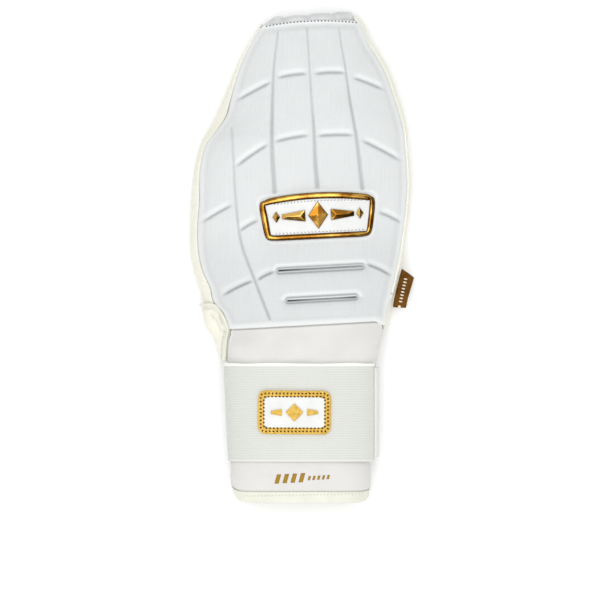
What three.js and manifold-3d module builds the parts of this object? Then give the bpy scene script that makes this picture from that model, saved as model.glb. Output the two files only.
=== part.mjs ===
// A padded sliding mitt that lies on its palm: millimetres, fingers along +Y, back of the hand up.
import * as THREE from "three";
import { mergeVertices } from "three/addons/utils/BufferGeometryUtils.js";
import Module from "manifold-3d";

const wasm = await Module();
wasm.setup();

// Hand part.
const HAND_LENGTH = 210.4; // wrist seam to finger seam
const HAND_HALF = 77.4; // half the width that the hand table's shares refer to
const HAND_DEPTH = 50; // palm underside to the crown over the knuckles
const WRIST_SEAM = -48.1; // place of the pad's wrist end
const HAND_LEAN = 0.055; // how much the hand's cross lines climb to the right
const TIP_ARCH = 2; // how far the finger seam bows forward
const GAP = 0.3; // clearance between neighbouring pieces

// Padded back.
const PAD_THICK = 9.5;
const PAD_EDGE = 4;
const PAD_MARGIN = 3.2; // flat sewing margin round the raised cushion
const PAD_STEP = 1.6; // rise of the cushion above its margin
const PAD_RAMP = 3;
const PAD_ROUND = 1.2;
const GROOVE_WIDTH = 3;
const GROOVE_DEPTH = 2.2;
const GROOVE_FLOOR = 0.6;
const CUT_OVER = 2; // how far a cutter stands above the surface
const CROSS_SHARE = 0.8; // depth of a cross groove to a long one
const SLOT_WIDTH = 5.2; // across the outline of a flex slot
const SLOT_DEPTH = 3.4;
const SLOT_LINE = 1.6; // width of the groove that outlines a slot
const SLOT_LINE_DEPTH = 1.4;
const SLOT_SLIT = 1.8; // width of the slit in a slot's middle

// Palm, heel and finger cap.
const LEATHER = 1.8;
const RIM_DROP = 1; // how far the gusset's rim stays below the pad's edge
const WIDEST_HEIGHT = 12; // where the gusset bulges most
const PALM_CORNER = 14; // round between gusset and flat palm
const SEAM_AT = 0.088; // share of the hand where palm and heel panels meet
const HEEL_LENGTH = 32.5; // along the middle of the hand
const HEEL_LEAN = 0.2; // climb of the heel's lower edge to the right
const BINDING_RADIUS = 1.1;
const TIP_WALL = 1.8;
const TIP_REACH = 6.9; // how far the finger lobes stand in front of the seam
const TIP_SIDES = 1.2; // reach of the cap at its two ends
const LOBE_NOTCH = 1; // depth of the valleys between lobes
const TIP_BOXY = 0.55; // lower is a blunter front
const BACK_SHOULDER = 2.6; // higher is a flatter crown with steeper sides
const BACK_FALL = 0.85;

// Wrist part.
const CUFF_HALF = 52.5;
const CUFF_DEPTH = 38;
const CUFF_LENGTH = 122.5; // from the wrist seam to the open end
const CUFF_FLOOR = 2.4; // height of the cuff's underside
const CUFF_WALL = 3;
const WRIST_SQUARE = 2.5; // 2 is an ellipse, higher is squarer
const CUFF_LIFT_LEFT = 9;
const CUFF_LIFT_RIGHT = 3.5;
const HEM_HEIGHT = 6.3;
const HEM_SEAT = 8; // length of the cuff's narrower end, where the hem sits
const HEM_WALL = 1;
const STRAP_TOP = 26.3; // below the wrist seam
const STRAP_WIDTH = 68.6;
const STRAP_WALL = 1.5;
const TAB_INSET = 3;

// Badges.
const BADGE_ALONG = 0.362; // share of the hand at the badge's centre
const BADGE_ACROSS = 12.6;
const BADGE_WIDTH = 81;
const BADGE_HEIGHT = 33;
const BADGE_ROUND = 5;
const BADGE_TURN = 0.05; // radians
const BADGE_THICK = 1.6;
const RIM_WIDTH = 3.5;
const RIM_HEIGHT = 3.2;
const ORNAMENT_HEIGHT = 1.3;
const WRIST_BADGE_X = -3.9;
const WRIST_BADGE_DROP = 34.3; // below the strap's upper edge
const WRIST_BADGE_WIDTH = 51;
const WRIST_BADGE_HEIGHT = 30.5;
const WRIST_BADGE_ROUND = 4.2;
const WRIST_FIELD_ROUND = 1.5;
const WRIST_BADGE_THICK = 1.1;
const FRAME_WIDTH = 4.8;
const FRAME_HEIGHT = 1.9;
const STRIPE_HEIGHT = 0.9;

// Side tab.
const SIDE_TAB_THICK = 1.2;
const SIDE_TAB_RISE = 0.4; // above the gusset's widest line
const SIDE_TAB_LENGTH = 27;
const SIDE_TAB_OUT = 10.5;
const SIDE_TAB_SKEW = 0.12; // how much further its lower corner stands out, and its upper one less
const SIDE_TAB_SLANT = 6.5; // its upper outer corner lies lower than its inner one
const SIDE_TAB_DROP = 0.5;
const SIDE_TAB_BELOW = 7.4; // part of its length below the seam

// Hand sections from wrist (0) to finger seam (1): pad edges and gusset bulges as shares of HAND_HALF.
const HAND_ROWS = [
  { at: 0.0, padLeft: -0.629, padRight: 0.76, outLeft: -0.837, outRight: 0.795 },
  { at: 0.052, padLeft: -0.683, padRight: 0.784, outLeft: -0.878, outRight: 0.82 },
  { at: 0.092, padLeft: -0.767, padRight: 0.814, outLeft: -0.87, outRight: 0.851 },
  { at: 0.141, padLeft: -0.801, padRight: 0.846, outLeft: -0.902, outRight: 0.89 },
  { at: 0.201, padLeft: -0.871, padRight: 0.882, outLeft: -0.962, outRight: 0.926 },
  { at: 0.268, padLeft: -0.908, padRight: 0.911, outLeft: -0.994, outRight: 0.955 },
  { at: 0.344, padLeft: -0.915, padRight: 0.939, outLeft: -0.995, outRight: 0.982 },
  { at: 0.434, padLeft: -0.898, padRight: 0.959, outLeft: -0.985, outRight: 1.003 },
  { at: 0.517, padLeft: -0.899, padRight: 0.954, outLeft: -0.964, outRight: 0.995 },
  { at: 0.584, padLeft: -0.871, padRight: 0.939, outLeft: -0.932, outRight: 0.977 },
  { at: 0.627, padLeft: -0.826, padRight: 0.928, outLeft: -0.894, outRight: 0.97 },
  { at: 0.664, padLeft: -0.742, padRight: 0.905, outLeft: -0.835, outRight: 0.95 },
  { at: 0.71, padLeft: -0.656, padRight: 0.869, outLeft: -0.762, outRight: 0.918 },
  { at: 0.76, padLeft: -0.619, padRight: 0.826, outLeft: -0.703, outRight: 0.874 },
  { at: 0.817, padLeft: -0.579, padRight: 0.772, outLeft: -0.637, outRight: 0.822 },
  { at: 0.877, padLeft: -0.529, padRight: 0.69, outLeft: -0.57, outRight: 0.745 },
  { at: 0.933, padLeft: -0.462, padRight: 0.59, outLeft: -0.497, outRight: 0.65 },
  { at: 0.977, padLeft: -0.385, padRight: 0.51, outLeft: -0.42, outRight: 0.575 },
  { at: 1.0, padLeft: -0.33, padRight: 0.456, outLeft: -0.372, outRight: 0.535 },
];

// Heights of the pad's crown and of its side edges, as shares of HAND_DEPTH.
const HEIGHT_ROWS = [
  { at: 0.0, crown: 0.86, edge: 0.52 },
  { at: 0.2, crown: 0.94, edge: 0.53 },
  { at: 0.42, crown: 1.0, edge: 0.53 },
  { at: 0.65, crown: 0.95, edge: 0.5 },
  { at: 0.8, crown: 0.82, edge: 0.46 },
  { at: 0.9, crown: 0.72, edge: 0.43 },
  { at: 1.0, crown: 0.6, edge: 0.4 },
];

// Heel panel from its seam (0) to its lower edge (1): bulge on each side as shares of HAND_HALF.
const HEEL_ROWS = [
  { at: 0.0, outLeft: -0.885, outRight: 0.853 },
  { at: 0.33, outLeft: -0.858, outRight: 0.826 },
  { at: 0.66, outLeft: -0.765, outRight: 0.81 },
  { at: 1.0, outLeft: -0.712, outRight: 0.8 },
];

const HEM_SEAT_START = 1 - HEM_SEAT / CUFF_LENGTH;

// Cuff sections below the wrist seam, shares of CUFF_LENGTH: middle and half width as shares of CUFF_HALF,
// underside and top as shares of CUFF_DEPTH above CUFF_FLOOR, and whether the lining has a section there.
const CUFF_ROWS = [
  { at: -0.045, middle: 0.1, half: 0.86, floor: 0.0, top: 0.86, inside: true },
  { at: 0.01, middle: 0.09, half: 0.88, floor: 0.0, top: 0.89, inside: true },
  { at: 0.035, middle: 0.085, half: 1.01, floor: 0.0, top: 0.97, inside: false },
  { at: 0.08, middle: 0.06, half: 1.013, floor: 0.0, top: 1.0, inside: true },
  { at: 0.2, middle: 0.025, half: 0.995, floor: 0.0, top: 1.0, inside: false },
  { at: 0.5, middle: 0.012, half: 0.965, floor: 0.0, top: 0.985, inside: true },
  { at: 0.78, middle: 0.006, half: 0.933, floor: 0.0, top: 0.98, inside: false },
  { at: HEM_SEAT_START, middle: 0.01, half: 0.932, floor: 0.0, top: 0.985, inside: false },
  { at: HEM_SEAT_START + 0.015, middle: 0.01, half: 0.905, floor: 0.03, top: 0.95, inside: true },
  { at: 1.0, middle: 0.01, half: 0.9, floor: 0.03, top: 0.95, inside: true },
];

// Sewn grooves that run along the hand: places as shares along the hand and across the pad.
const LONG_GROOVES = [
  [
    { along: 0.67, across: -0.86 },
    { along: 0.573, across: -0.71 },
    { along: 0.41, across: -0.655 },
    { along: 0.282, across: -0.58 },
    { along: 0.164, across: -0.51 },
    { along: 0.026, across: -0.465 },
  ],
  [
    { along: 0.975, across: -0.61 },
    { along: 0.86, across: -0.51 },
    { along: 0.732, across: -0.49 },
    { along: 0.593, across: -0.34 },
    { along: 0.459, across: -0.29 },
  ],
  [
    { along: 0.98, across: 0.0 },
    { along: 0.738, across: 0.0 },
    { along: 0.645, across: 0.07 },
    { along: 0.535, across: 0.12 },
    { along: 0.464, across: 0.135 },
  ],
  [
    { along: 0.975, across: 0.66 },
    { along: 0.86, across: 0.535 },
    { along: 0.743, across: 0.495 },
    { along: 0.607, across: 0.545 },
    { along: 0.463, across: 0.565 },
  ],
];

// Short cross grooves between them, with their two ends and how far the middle bows to the fingers.
const CROSS_GROOVES = [
  { along: 0.768, across: -0.91, alongEnd: 0.815, acrossEnd: -0.56, bow: 0.006 },
  { along: 0.831, across: -0.45, alongEnd: 0.837, acrossEnd: -0.055, bow: 0.004 },
  { along: 0.835, across: 0.075, alongEnd: 0.835, acrossEnd: 0.46, bow: 0.004 },
  { along: 0.815, across: 0.575, alongEnd: 0.772, acrossEnd: 0.905, bow: 0.006 },
  { along: 0.543, across: -0.64, alongEnd: 0.608, acrossEnd: -0.38, bow: 0.004 },
  { along: 0.619, across: -0.3, alongEnd: 0.632, acrossEnd: 0.02, bow: 0.004 },
  { along: 0.628, across: 0.135, alongEnd: 0.624, acrossEnd: 0.49, bow: 0.004 },
  { along: 0.603, across: 0.59, alongEnd: 0.533, acrossEnd: 0.945, bow: 0.006 },
  { along: 0.363, across: -0.945, alongEnd: 0.411, acrossEnd: -0.7, bow: 0.003 },
  { along: 0.328, across: -0.58, alongEnd: 0.355, acrossEnd: -0.45, bow: 0.002 },
  { along: 0.358, across: 0.77, alongEnd: 0.325, acrossEnd: 0.96, bow: 0.002 },
  { along: 0.115, across: -0.875, alongEnd: 0.154, acrossEnd: -0.55, bow: 0.003 },
  { along: 0.162, across: -0.47, alongEnd: 0.186, acrossEnd: -0.31, bow: 0.002 },
  { along: 0.189, across: 0.71, alongEnd: 0.153, acrossEnd: 0.945, bow: 0.003 },
];

// Flex slots near the wrist, as shares along the hand and across the pad.
const FLEX_SLOTS = [
  { along: 0.185, left: -0.25, right: 0.65 },
  { along: 0.085, left: -0.18, right: 0.615 },
];

// Finger lobes from left to right: their sides as shares of the cap's width, crest as a share of TIP_REACH.
const TIP_LOBES = [
  { from: 0.0, to: 0.23, reach: 0.84 },
  { from: 0.23, to: 0.49, reach: 0.72 },
  { from: 0.49, to: 0.757, reach: 0.81 },
  { from: 0.757, to: 1.0, reach: 1.0 },
];

const PAD_COLOUR = 0xe4e6e6;
const LEATHER_COLOUR = 0xe9e8de;
const CUFF_COLOUR = 0xe6e4e0;
const STRAP_COLOUR = 0xdfe2dc;
const GILT_COLOUR = 0xd19a3c;
const BADGE_COLOUR = 0xf0f1ef;
const TAB_COLOUR = 0x5c3a14;

// Reads a table's column at a share along it, through a smooth curve.
function column(rows, name, at) {
  const last = rows.length - 1;
  let i = 0;
  while (i < last - 1 && at > rows[i + 1].at) i += 1;
  const from = rows[i];
  const to = rows[i + 1];
  const before = rows[Math.max(i - 1, 0)];
  const after = rows[Math.min(i + 2, last)];
  const span = to.at - from.at;
  const slopeFrom = ((to[name] - before[name]) / (to.at - before.at)) * span;
  const slopeTo = ((after[name] - from[name]) / (after.at - from.at)) * span;
  const f = Math.min(Math.max((at - from.at) / span, 0), 1);
  const ff = f * f;
  const fff = ff * f;
  return (
    (2 * fff - 3 * ff + 1) * from[name] +
    (fff - 2 * ff + f) * slopeFrom +
    (3 * ff - 2 * fff) * to[name] +
    (fff - ff) * slopeTo
  );
}

function smooth(value) {
  const v = Math.min(Math.max(value, 0), 1);
  return v * v * (3 - 2 * v);
}

function mix(from, to, share) {
  return from + (to - from) * share;
}

// Evenly spread values from one number to another, both included.
function steps(from, to, count) {
  return Array.from({ length: count + 1 }, (_, i) => mix(from, to, i / count));
}

function signedVolume(points, faces) {
  let volume = 0;
  for (const [a, b, c] of faces) {
    volume += new THREE.Vector3().crossVectors(points[a], points[b]).dot(points[c]) / 6;
  }
  return volume;
}

// Makes a geometry of points and triangles, with its faces turned outwards.
function skin(points, faces) {
  const outward = signedVolume(points, faces) > 0;
  const turned = faces.map(([a, b, c]) => (outward ? [a, b, c] : [a, c, b]));
  const geometry = new THREE.BufferGeometry().setFromPoints(points);
  geometry.setIndex(turned.flat());
  return geometry;
}

function addQuad(faces, a, b, c, d) {
  faces.push([a, b, c], [a, c, d]);
}

// Skins a row of closed loops with equal counts. An open row gets a strip over each end.
function loft(loops, closed = false) {
  const count = loops[0].length;
  const faces = [];
  const rows = closed ? loops.length : loops.length - 1;
  for (let row = 0; row < rows; row += 1) {
    const here = row * count;
    const next = ((row + 1) % loops.length) * count;
    for (let i = 0; i < count; i += 1) {
      const j = (i + 1) % count;
      addQuad(faces, here + i, here + j, next + j, next + i);
    }
  }
  if (!closed) {
    const end = (loops.length - 1) * count;
    for (let i = 0; i < count / 2 - 1; i += 1) {
      const mirror = count - 1 - i;
      addQuad(faces, i, mirror, mirror - 1, i + 1);
      addQuad(faces, end + i, end + i + 1, end + mirror - 1, end + mirror);
    }
  }
  return skin(loops.flat(), faces);
}

function solidOf(geometry) {
  const bare = new THREE.BufferGeometry();
  bare.setAttribute("position", geometry.getAttribute("position"));
  bare.setIndex(geometry.getIndex());
  const merged = mergeVertices(bare, 1e-4);
  return new wasm.Manifold(
    new wasm.Mesh({
      numProp: 3,
      vertProperties: merged.attributes.position.array,
      triVerts: new Uint32Array(merged.index.array),
    }),
  );
}

function geometryOf(solid) {
  const mesh = solid.getMesh();
  const geometry = new THREE.BufferGeometry();
  geometry.setAttribute("position", new THREE.BufferAttribute(mesh.vertProperties, 3));
  geometry.setIndex(new THREE.BufferAttribute(mesh.triVerts, 1));
  return geometry;
}

// Place of a share along the hand at a distance from its centreline.
function handY(along, x) {
  const left = column(HAND_ROWS, "padLeft", 1) * HAND_HALF;
  const right = column(HAND_ROWS, "padRight", 1) * HAND_HALF;
  const share = (2 * x - left - right) / (right - left);
  const arch = Math.max(1 - share * share, -0.6) * along ** 6;
  return WRIST_SEAM + HAND_LENGTH * along + HAND_LEAN * x + TIP_ARCH * arch;
}

// Share along the hand of a point.
function handShare(x, y) {
  let along = (y - WRIST_SEAM - HAND_LEAN * x) / HAND_LENGTH;
  for (let i = 0; i < 3; i += 1) along += (y - handY(along, x)) / HAND_LENGTH;
  return along;
}

function handX(name, along) {
  return column(HAND_ROWS, name, along) * HAND_HALF;
}

// The arch of the back of the hand, 1 on its middle line and 0 at the pad's edges.
function backArch(share) {
  return (1 - Math.min(Math.abs(share), 1) ** BACK_SHOULDER) ** BACK_FALL;
}

function acrossShare(x, along) {
  const left = handX("padLeft", along);
  const right = handX("padRight", along);
  return (2 * x - left - right) / (right - left);
}

// Height of the pad's sewing margin surface, which also lies under the cushion.
function padBase(x, along) {
  const edge = column(HEIGHT_ROWS, "edge", along) * HAND_DEPTH;
  const crown = column(HEIGHT_ROWS, "crown", along) * HAND_DEPTH - PAD_STEP;
  return edge + (crown - edge) * backArch(acrossShare(x, along));
}

// Distance from the nearest border of the pad.
function borderDistance(x, along) {
  const sides = Math.min(x - handX("padLeft", along), handX("padRight", along) - x);
  const ends = Math.min(along, 1 - along) * HAND_LENGTH;
  return Math.min(sides, ends);
}

function padTop(x, along) {
  const distance = borderDistance(x, along);
  const raised = PAD_STEP * smooth((distance - PAD_MARGIN) / PAD_RAMP);
  const worn = PAD_ROUND * (1 - smooth(0.5 + distance / PAD_ROUND / 2));
  return padBase(x, along) + raised - worn;
}

function padUnder(x, along) {
  const arch = backArch(acrossShare(x, along));
  const ends = smooth((Math.min(along, 1 - along) * HAND_LENGTH) / (4 * PAD_MARGIN));
  const body = (PAD_THICK - PAD_EDGE - PAD_STEP) * arch * mix(0.25, 1, ends);
  return padBase(x, along) - PAD_EDGE - body;
}

// Distances from a border at which the cushion's margin and ramp need a line of points.
const BORDER_LINES = [0, PAD_ROUND, PAD_MARGIN, PAD_MARGIN + PAD_RAMP];

function linesBetween(low, high, count) {
  const inner = BORDER_LINES[BORDER_LINES.length - 1];
  const middle = steps(low + inner, high - inner, count).slice(1, -1);
  const upper = BORDER_LINES.map((d) => high - d).reverse();
  return [...BORDER_LINES.map((d) => low + d), ...middle, ...upper];
}

// Shares along the hand at which the pad and the palm both have a section.
function handStations() {
  const seam = SEAM_AT * HAND_LENGTH;
  const rest = linesBetween(seam - BORDER_LINES[3], HAND_LENGTH, 13).slice(BORDER_LINES.length);
  return [...BORDER_LINES, seam / 2, seam, ...rest].map((d) => d / HAND_LENGTH);
}

function makePadSlab() {
  const rows = handStations().map((along) => {
    const xs = linesBetween(handX("padLeft", along), handX("padRight", along), 9);
    const top = xs.map((x) => new THREE.Vector3(x, handY(along, x), padTop(x, along)));
    const under = xs.map((x) => new THREE.Vector3(x, handY(along, x), padUnder(x, along)));
    return [...top, ...under.reverse()];
  });
  return loft(rows);
}

// A point on the pad's top from its shares along and across.
function padPoint(along, across) {
  const x = mix(handX("padLeft", along), handX("padRight", along), (across + 1) / 2);
  return new THREE.Vector3(x, handY(along, x), padTop(x, along));
}

// A V-shaped cutter that follows a row of points on the pad, shallow at its ends.
function trough(points, width, depth, closed = false) {
  const last = points.length - 1;
  const sections = points.map((point, i) => {
    const before = points[closed ? (i + last) % (last + 1) : Math.max(i - 1, 0)];
    const after = points[closed ? (i + 1) % (last + 1) : Math.min(i + 1, last)];
    const side = new THREE.Vector3(after.y - before.y, before.x - after.x, 0).normalize();
    const full = closed ? 1 : mix(0.35, 1, smooth((Math.min(i, last - i) / last) * 5));
    const reach = (width / 2) * (1 + CUT_OVER / depth);
    const corners = [
      [-reach, CUT_OVER],
      [-GROOVE_FLOOR / 2, -depth * full],
      [GROOVE_FLOOR / 2, -depth * full],
      [reach, CUT_OVER],
    ];
    return corners.map(([out, rise]) =>
      point.clone().addScaledVector(side, out).add(new THREE.Vector3(0, 0, rise)),
    );
  });
  return solidOf(loft(sections, closed));
}

// Lays a curve through rows of shares onto the pad.
function padPath(rows, count) {
  const flat = rows.map((row) => new THREE.Vector2(row.across, row.along));
  const curve = new THREE.SplineCurve(flat);
  return curve.getPoints(count).map((p) => padPoint(p.y, p.x));
}

function crossPath(groove) {
  const middle = {
    along: (groove.along + groove.alongEnd) / 2 + groove.bow,
    across: (groove.across + groove.acrossEnd) / 2,
  };
  const end = { along: groove.alongEnd, across: groove.acrossEnd };
  return padPath([groove, middle, end], 4);
}

// The outline of a flex slot: two straight sides with round ends.
function slotOutline(slot) {
  const left = padPoint(slot.along, slot.left);
  const right = padPoint(slot.along, slot.right);
  const radius = SLOT_WIDTH / 2;
  const points = [];
  const ahead = new THREE.Vector3().subVectors(right, left).setZ(0).normalize();
  const side = new THREE.Vector3(-ahead.y, ahead.x, 0);
  const place = (base, angle) => {
    const x = base.x + radius * (Math.cos(angle) * ahead.x + Math.sin(angle) * side.x);
    const y = base.y + radius * (Math.cos(angle) * ahead.y + Math.sin(angle) * side.y);
    return new THREE.Vector3(x, y, padTop(x, handShare(x, y)));
  };
  for (const angle of steps(-Math.PI / 2, Math.PI / 2, 5)) points.push(place(right, angle));
  for (const share of [0.25, 0.5, 0.75]) {
    points.push(place(right.clone().lerp(left, share), Math.PI / 2));
  }
  for (const angle of steps(Math.PI / 2, (3 * Math.PI) / 2, 5)) points.push(place(left, angle));
  for (const share of [0.25, 0.5, 0.75]) {
    points.push(place(left.clone().lerp(right, share), -Math.PI / 2));
  }
  return points;
}

function makeBackPad() {
  let pad = solidOf(makePadSlab());
  for (const groove of LONG_GROOVES) {
    pad = pad.subtract(trough(padPath(groove, 9), GROOVE_WIDTH, GROOVE_DEPTH));
  }
  for (const groove of CROSS_GROOVES) {
    pad = pad.subtract(trough(crossPath(groove), GROOVE_WIDTH, GROOVE_DEPTH * CROSS_SHARE));
  }
  for (const slot of FLEX_SLOTS) {
    const ends = [
      { along: slot.along, across: slot.left },
      { along: slot.along, across: (slot.left + slot.right) / 2 },
      { along: slot.along, across: slot.right },
    ];
    pad = pad.subtract(trough(slotOutline(slot), SLOT_LINE, SLOT_LINE_DEPTH, true));
    pad = pad.subtract(trough(padPath(ends, 8), SLOT_SLIT, SLOT_DEPTH));
  }
  return geometryOf(pad);
}

// One side of a gusset section, from its rim down to the flat palm, for a rim, a bulge and a rim height.
function gussetSide(rim, bulge, rimHeight) {
  const outward = Math.sign(bulge);
  const upper = steps(1, 0, 3).map((rise) => ({
    x: bulge - (bulge - rim) * rise * rise,
    z: mix(WIDEST_HEIGHT, rimHeight, rise),
  }));
  const lower = steps(0, Math.PI / 2, 4)
    .slice(1)
    .map((angle) => ({
      x: bulge - outward * PALM_CORNER * (1 - Math.cos(angle)),
      z: WIDEST_HEIGHT * (1 - Math.sin(angle)),
    }));
  return [...upper, ...lower];
}

// A U-shaped wall section: outer line from left rim to right rim, then the inner line back.
function troughSection(left, right, wall) {
  const outer = [...left, ...right.slice().reverse()];
  const inner = outer.map((point, i) => {
    const before = outer[Math.max(i - 1, 0)];
    const after = outer[Math.min(i + 1, outer.length - 1)];
    const atRim = i === 0 || i === outer.length - 1;
    const along = new THREE.Vector2(after.x - before.x, after.z - before.z).normalize();
    const inward = atRim ? new THREE.Vector2(i === 0 ? 1 : -1, 0) : new THREE.Vector2(-along.y, along.x);
    return { x: point.x + inward.x * wall, z: point.z + inward.y * wall };
  });
  return [...outer, ...inner.reverse()];
}

// The palm's section at a share along the hand.
function palmSection(along) {
  const rimHeight = column(HEIGHT_ROWS, "edge", along) * HAND_DEPTH - RIM_DROP;
  const clear = GAP + LEATHER;
  const left = gussetSide(handX("padLeft", along) - clear, handX("outLeft", along), rimHeight);
  const right = gussetSide(handX("padRight", along) + clear, handX("outRight", along), rimHeight);
  return troughSection(left, right, LEATHER);
}

function makePalmShell() {
  const stations = handStations().filter((along) => along >= SEAM_AT - 1e-9);
  const loops = stations.map((along) =>
    palmSection(along).map((p) => new THREE.Vector3(p.x, handY(along, p.x), p.z)),
  );
  return loft(loops);
}

// Place along the hand of a heel section, whose cross line turns with its share down the heel.
function heelY(share, x) {
  const lean = mix(HAND_LEAN, HEEL_LEAN, share);
  return WRIST_SEAM + HAND_LENGTH * SEAM_AT - GAP - HEEL_LENGTH * share + lean * x;
}

// Rim of the heel on one side: it follows the pad's edge where there is a pad, and the cuff below it.
function heelRim(side, share) {
  const outward = side === "Left" ? -1 : 1;
  const near = handX("pad" + side, 0);
  const y = heelY(share, near);
  const along = Math.max(handShare(near, y), 0);
  const at = Math.max((WRIST_SEAM - y) / CUFF_LENGTH, CUFF_ROWS[2].at);
  const middle = column(CUFF_ROWS, "middle", at) * CUFF_HALF;
  const half = column(CUFF_ROWS, "half", at) * CUFF_HALF;
  const besidePad = outward * handX("pad" + side, along);
  const besideCuff = outward * middle + half;
  return outward * (Math.max(besidePad, besideCuff) + 1.5 * GAP + LEATHER);
}

function heelRimHeight(share) {
  const edge = column(HEIGHT_ROWS, "edge", 0) * HAND_DEPTH;
  return edge - RIM_DROP - 3 * smooth(share);
}

function heelSection(share) {
  const sides = ["Left", "Right"].map((side) => {
    const bulge = column(HEEL_ROWS, "out" + side, share) * HAND_HALF;
    return gussetSide(heelRim(side, share), bulge, heelRimHeight(share));
  });
  return troughSection(sides[0], sides[1], LEATHER);
}

function makePalmHeel() {
  const loops = steps(0, 1, 7).map((share) =>
    heelSection(share).map((p) => new THREE.Vector3(p.x, heelY(share, p.x), p.z)),
  );
  return loft(loops);
}

// Rolled binding: up the outside of the seam on the left, then down along the heel's rim.
function makeHeelBinding() {
  const stand = BINDING_RADIUS + GAP * 1.3;
  const section = heelSection(0);
  const rimStart = section[0];
  const outer = section.slice(0, section.length / 4);
  const seam = outer.filter((p) => p.z > 2 * stand).reverse();
  const points = seam.map((p, i) => {
    const before = seam[Math.max(i - 1, 0)];
    const after = seam[Math.min(i + 1, seam.length - 1)];
    const along = new THREE.Vector2(after.x - before.x, after.z - before.z).normalize();
    const x = p.x - along.y * stand;
    return new THREE.Vector3(x, heelY(0, p.x), p.z + along.x * stand);
  });
  for (const share of steps(0, 0.97, 8)) {
    const x = heelRim("Left", share) + LEATHER / 2;
    const height = share === 0 ? rimStart.z : heelRimHeight(share);
    points.push(new THREE.Vector3(x - GAP, heelY(share, x), height + stand));
  }
  const path = new THREE.CatmullRomCurve3(points, false, "centripetal");
  const round = new THREE.Shape().absarc(0, 0, BINDING_RADIUS, 0, 2 * Math.PI);
  const tube = new THREE.ExtrudeGeometry(round, { steps: 28, curveSegments: 4, extrudePath: path });
  tube.deleteAttribute("normal");
  tube.deleteAttribute("uv");
  return mergeVertices(tube, 1e-4);
}

// Ring of the finger cap's base: the palm's outline, then the pad's front edge back to the left.
function tipOutline(inset) {
  const section = palmSection(1);
  const left = section.slice(0, section.length / 4);
  const right = section.slice(section.length / 4, section.length / 2);
  const flat = steps(left[left.length - 1].x, right[0].x, 10).slice(1, -1);
  const under = [...left, ...flat.map((x) => ({ x, z: 0 })), ...right];
  const edges = steps(handX("padRight", 1), handX("padLeft", 1), under.length - 1);
  const over = edges.map((x) => ({ x, z: padTop(x, 1) }));
  const ring = [...under, ...over];
  return ring.map((point, i) => {
    const before = ring[(i + ring.length - 1) % ring.length];
    const after = ring[(i + 1) % ring.length];
    const along = new THREE.Vector2(after.x - before.x, after.z - before.z).normalize();
    return { x: point.x - along.y * inset, z: point.z + along.x * inset };
  });
}

// How far the finger lobes reach at a distance from the centreline.
function lobeReach(x) {
  const left = handX("outLeft", 1);
  const right = handX("outRight", 1);
  const share = Math.min(Math.max((x - left) / (right - left), 0), 1);
  const lobe = TIP_LOBES.find((row) => share <= row.to);
  const local = (2 * share - lobe.from - lobe.to) / (lobe.to - lobe.from);
  const crest = lobe.reach * TIP_REACH - LOBE_NOTCH * local ** 4;
  const ends = smooth(share / 0.16) * smooth((1 - share) / 0.12);
  return mix(TIP_SIDES, crest, ends);
}

function makeTipWrap() {
  const middle = 0.42 * column(HEIGHT_ROWS, "crown", 1) * HAND_DEPTH;
  const centre = (handX("outLeft", 1) + handX("outRight", 1)) / 2;
  const ringAt = (inset, turn) => {
    const rise = Math.cos(turn) ** TIP_BOXY;
    const forward = Math.sin(turn);
    return tipOutline(inset).map((p) => {
      const x = mix(centre, p.x, 1 - 0.05 * forward);
      const reach = (lobeReach(p.x) - inset) * forward;
      return new THREE.Vector3(x, handY(1, p.x) + GAP + reach, mix(middle, p.z, rise));
    });
  };
  const turns = steps(0, 1.5, 3);
  const outside = turns.map((turn) => ringAt(0, turn));
  const inside = turns.map((turn) => ringAt(TIP_WALL, turn)).reverse();
  return loft([...inside, ...outside]);
}

// Round oblong section of the wrist part, with flattened sides.
function oblong(middle, half, floor, top, count, angles = [0, 2 * Math.PI]) {
  const swing = (value) => Math.sign(value) * Math.abs(value) ** (2 / WRIST_SQUARE);
  const closed = angles[1] - angles[0] >= 2 * Math.PI;
  const turns = steps(angles[0], angles[1], count);
  if (closed) turns.pop();
  return turns.map((angle) => ({
    angle,
    x: middle + half * swing(Math.cos(angle)),
    z: (floor + top) / 2 + ((top - floor) / 2) * swing(Math.sin(angle)),
  }));
}

// Section of the cuff, grown by an offset.
function cuffSection(at, grow, count) {
  const middle = column(CUFF_ROWS, "middle", at) * CUFF_HALF;
  const half = column(CUFF_ROWS, "half", at) * CUFF_HALF + grow;
  const floor = CUFF_FLOOR + column(CUFF_ROWS, "floor", at) * CUFF_DEPTH - grow;
  const top = CUFF_FLOOR + column(CUFF_ROWS, "top", at) * CUFF_DEPTH + grow;
  return oblong(middle, half, floor, top, count);
}

// The cuff's open end curves back on both sides.
function endLift(angle, at) {
  const side = Math.abs(Math.cos(angle)) ** 6;
  const lift = Math.cos(angle) < 0 ? CUFF_LIFT_LEFT : CUFF_LIFT_RIGHT;
  return lift * side * smooth((at - 0.8) / 0.2);
}

const CUFF_SIDES = 36;

// A ring of the cuff: near the hand it leans as the pad's wrist end does.
function cuffRing(at, grow, shift = 0) {
  const lean = HAND_LEAN * (1 - smooth(at / 0.2));
  const y = WRIST_SEAM - CUFF_LENGTH * at + shift;
  return cuffSection(at, grow, CUFF_SIDES).map(
    (p) => new THREE.Vector3(p.x, y + lean * p.x + endLift(p.angle, at), p.z),
  );
}

function makeCuff() {
  const outside = CUFF_ROWS.map((row) => cuffRing(row.at, 0));
  const lining = CUFF_ROWS.filter((row) => row.inside);
  const inside = lining.map((row) => cuffRing(row.at, -CUFF_WALL)).reverse();
  return loft([...outside, ...inside], true);
}

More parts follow.
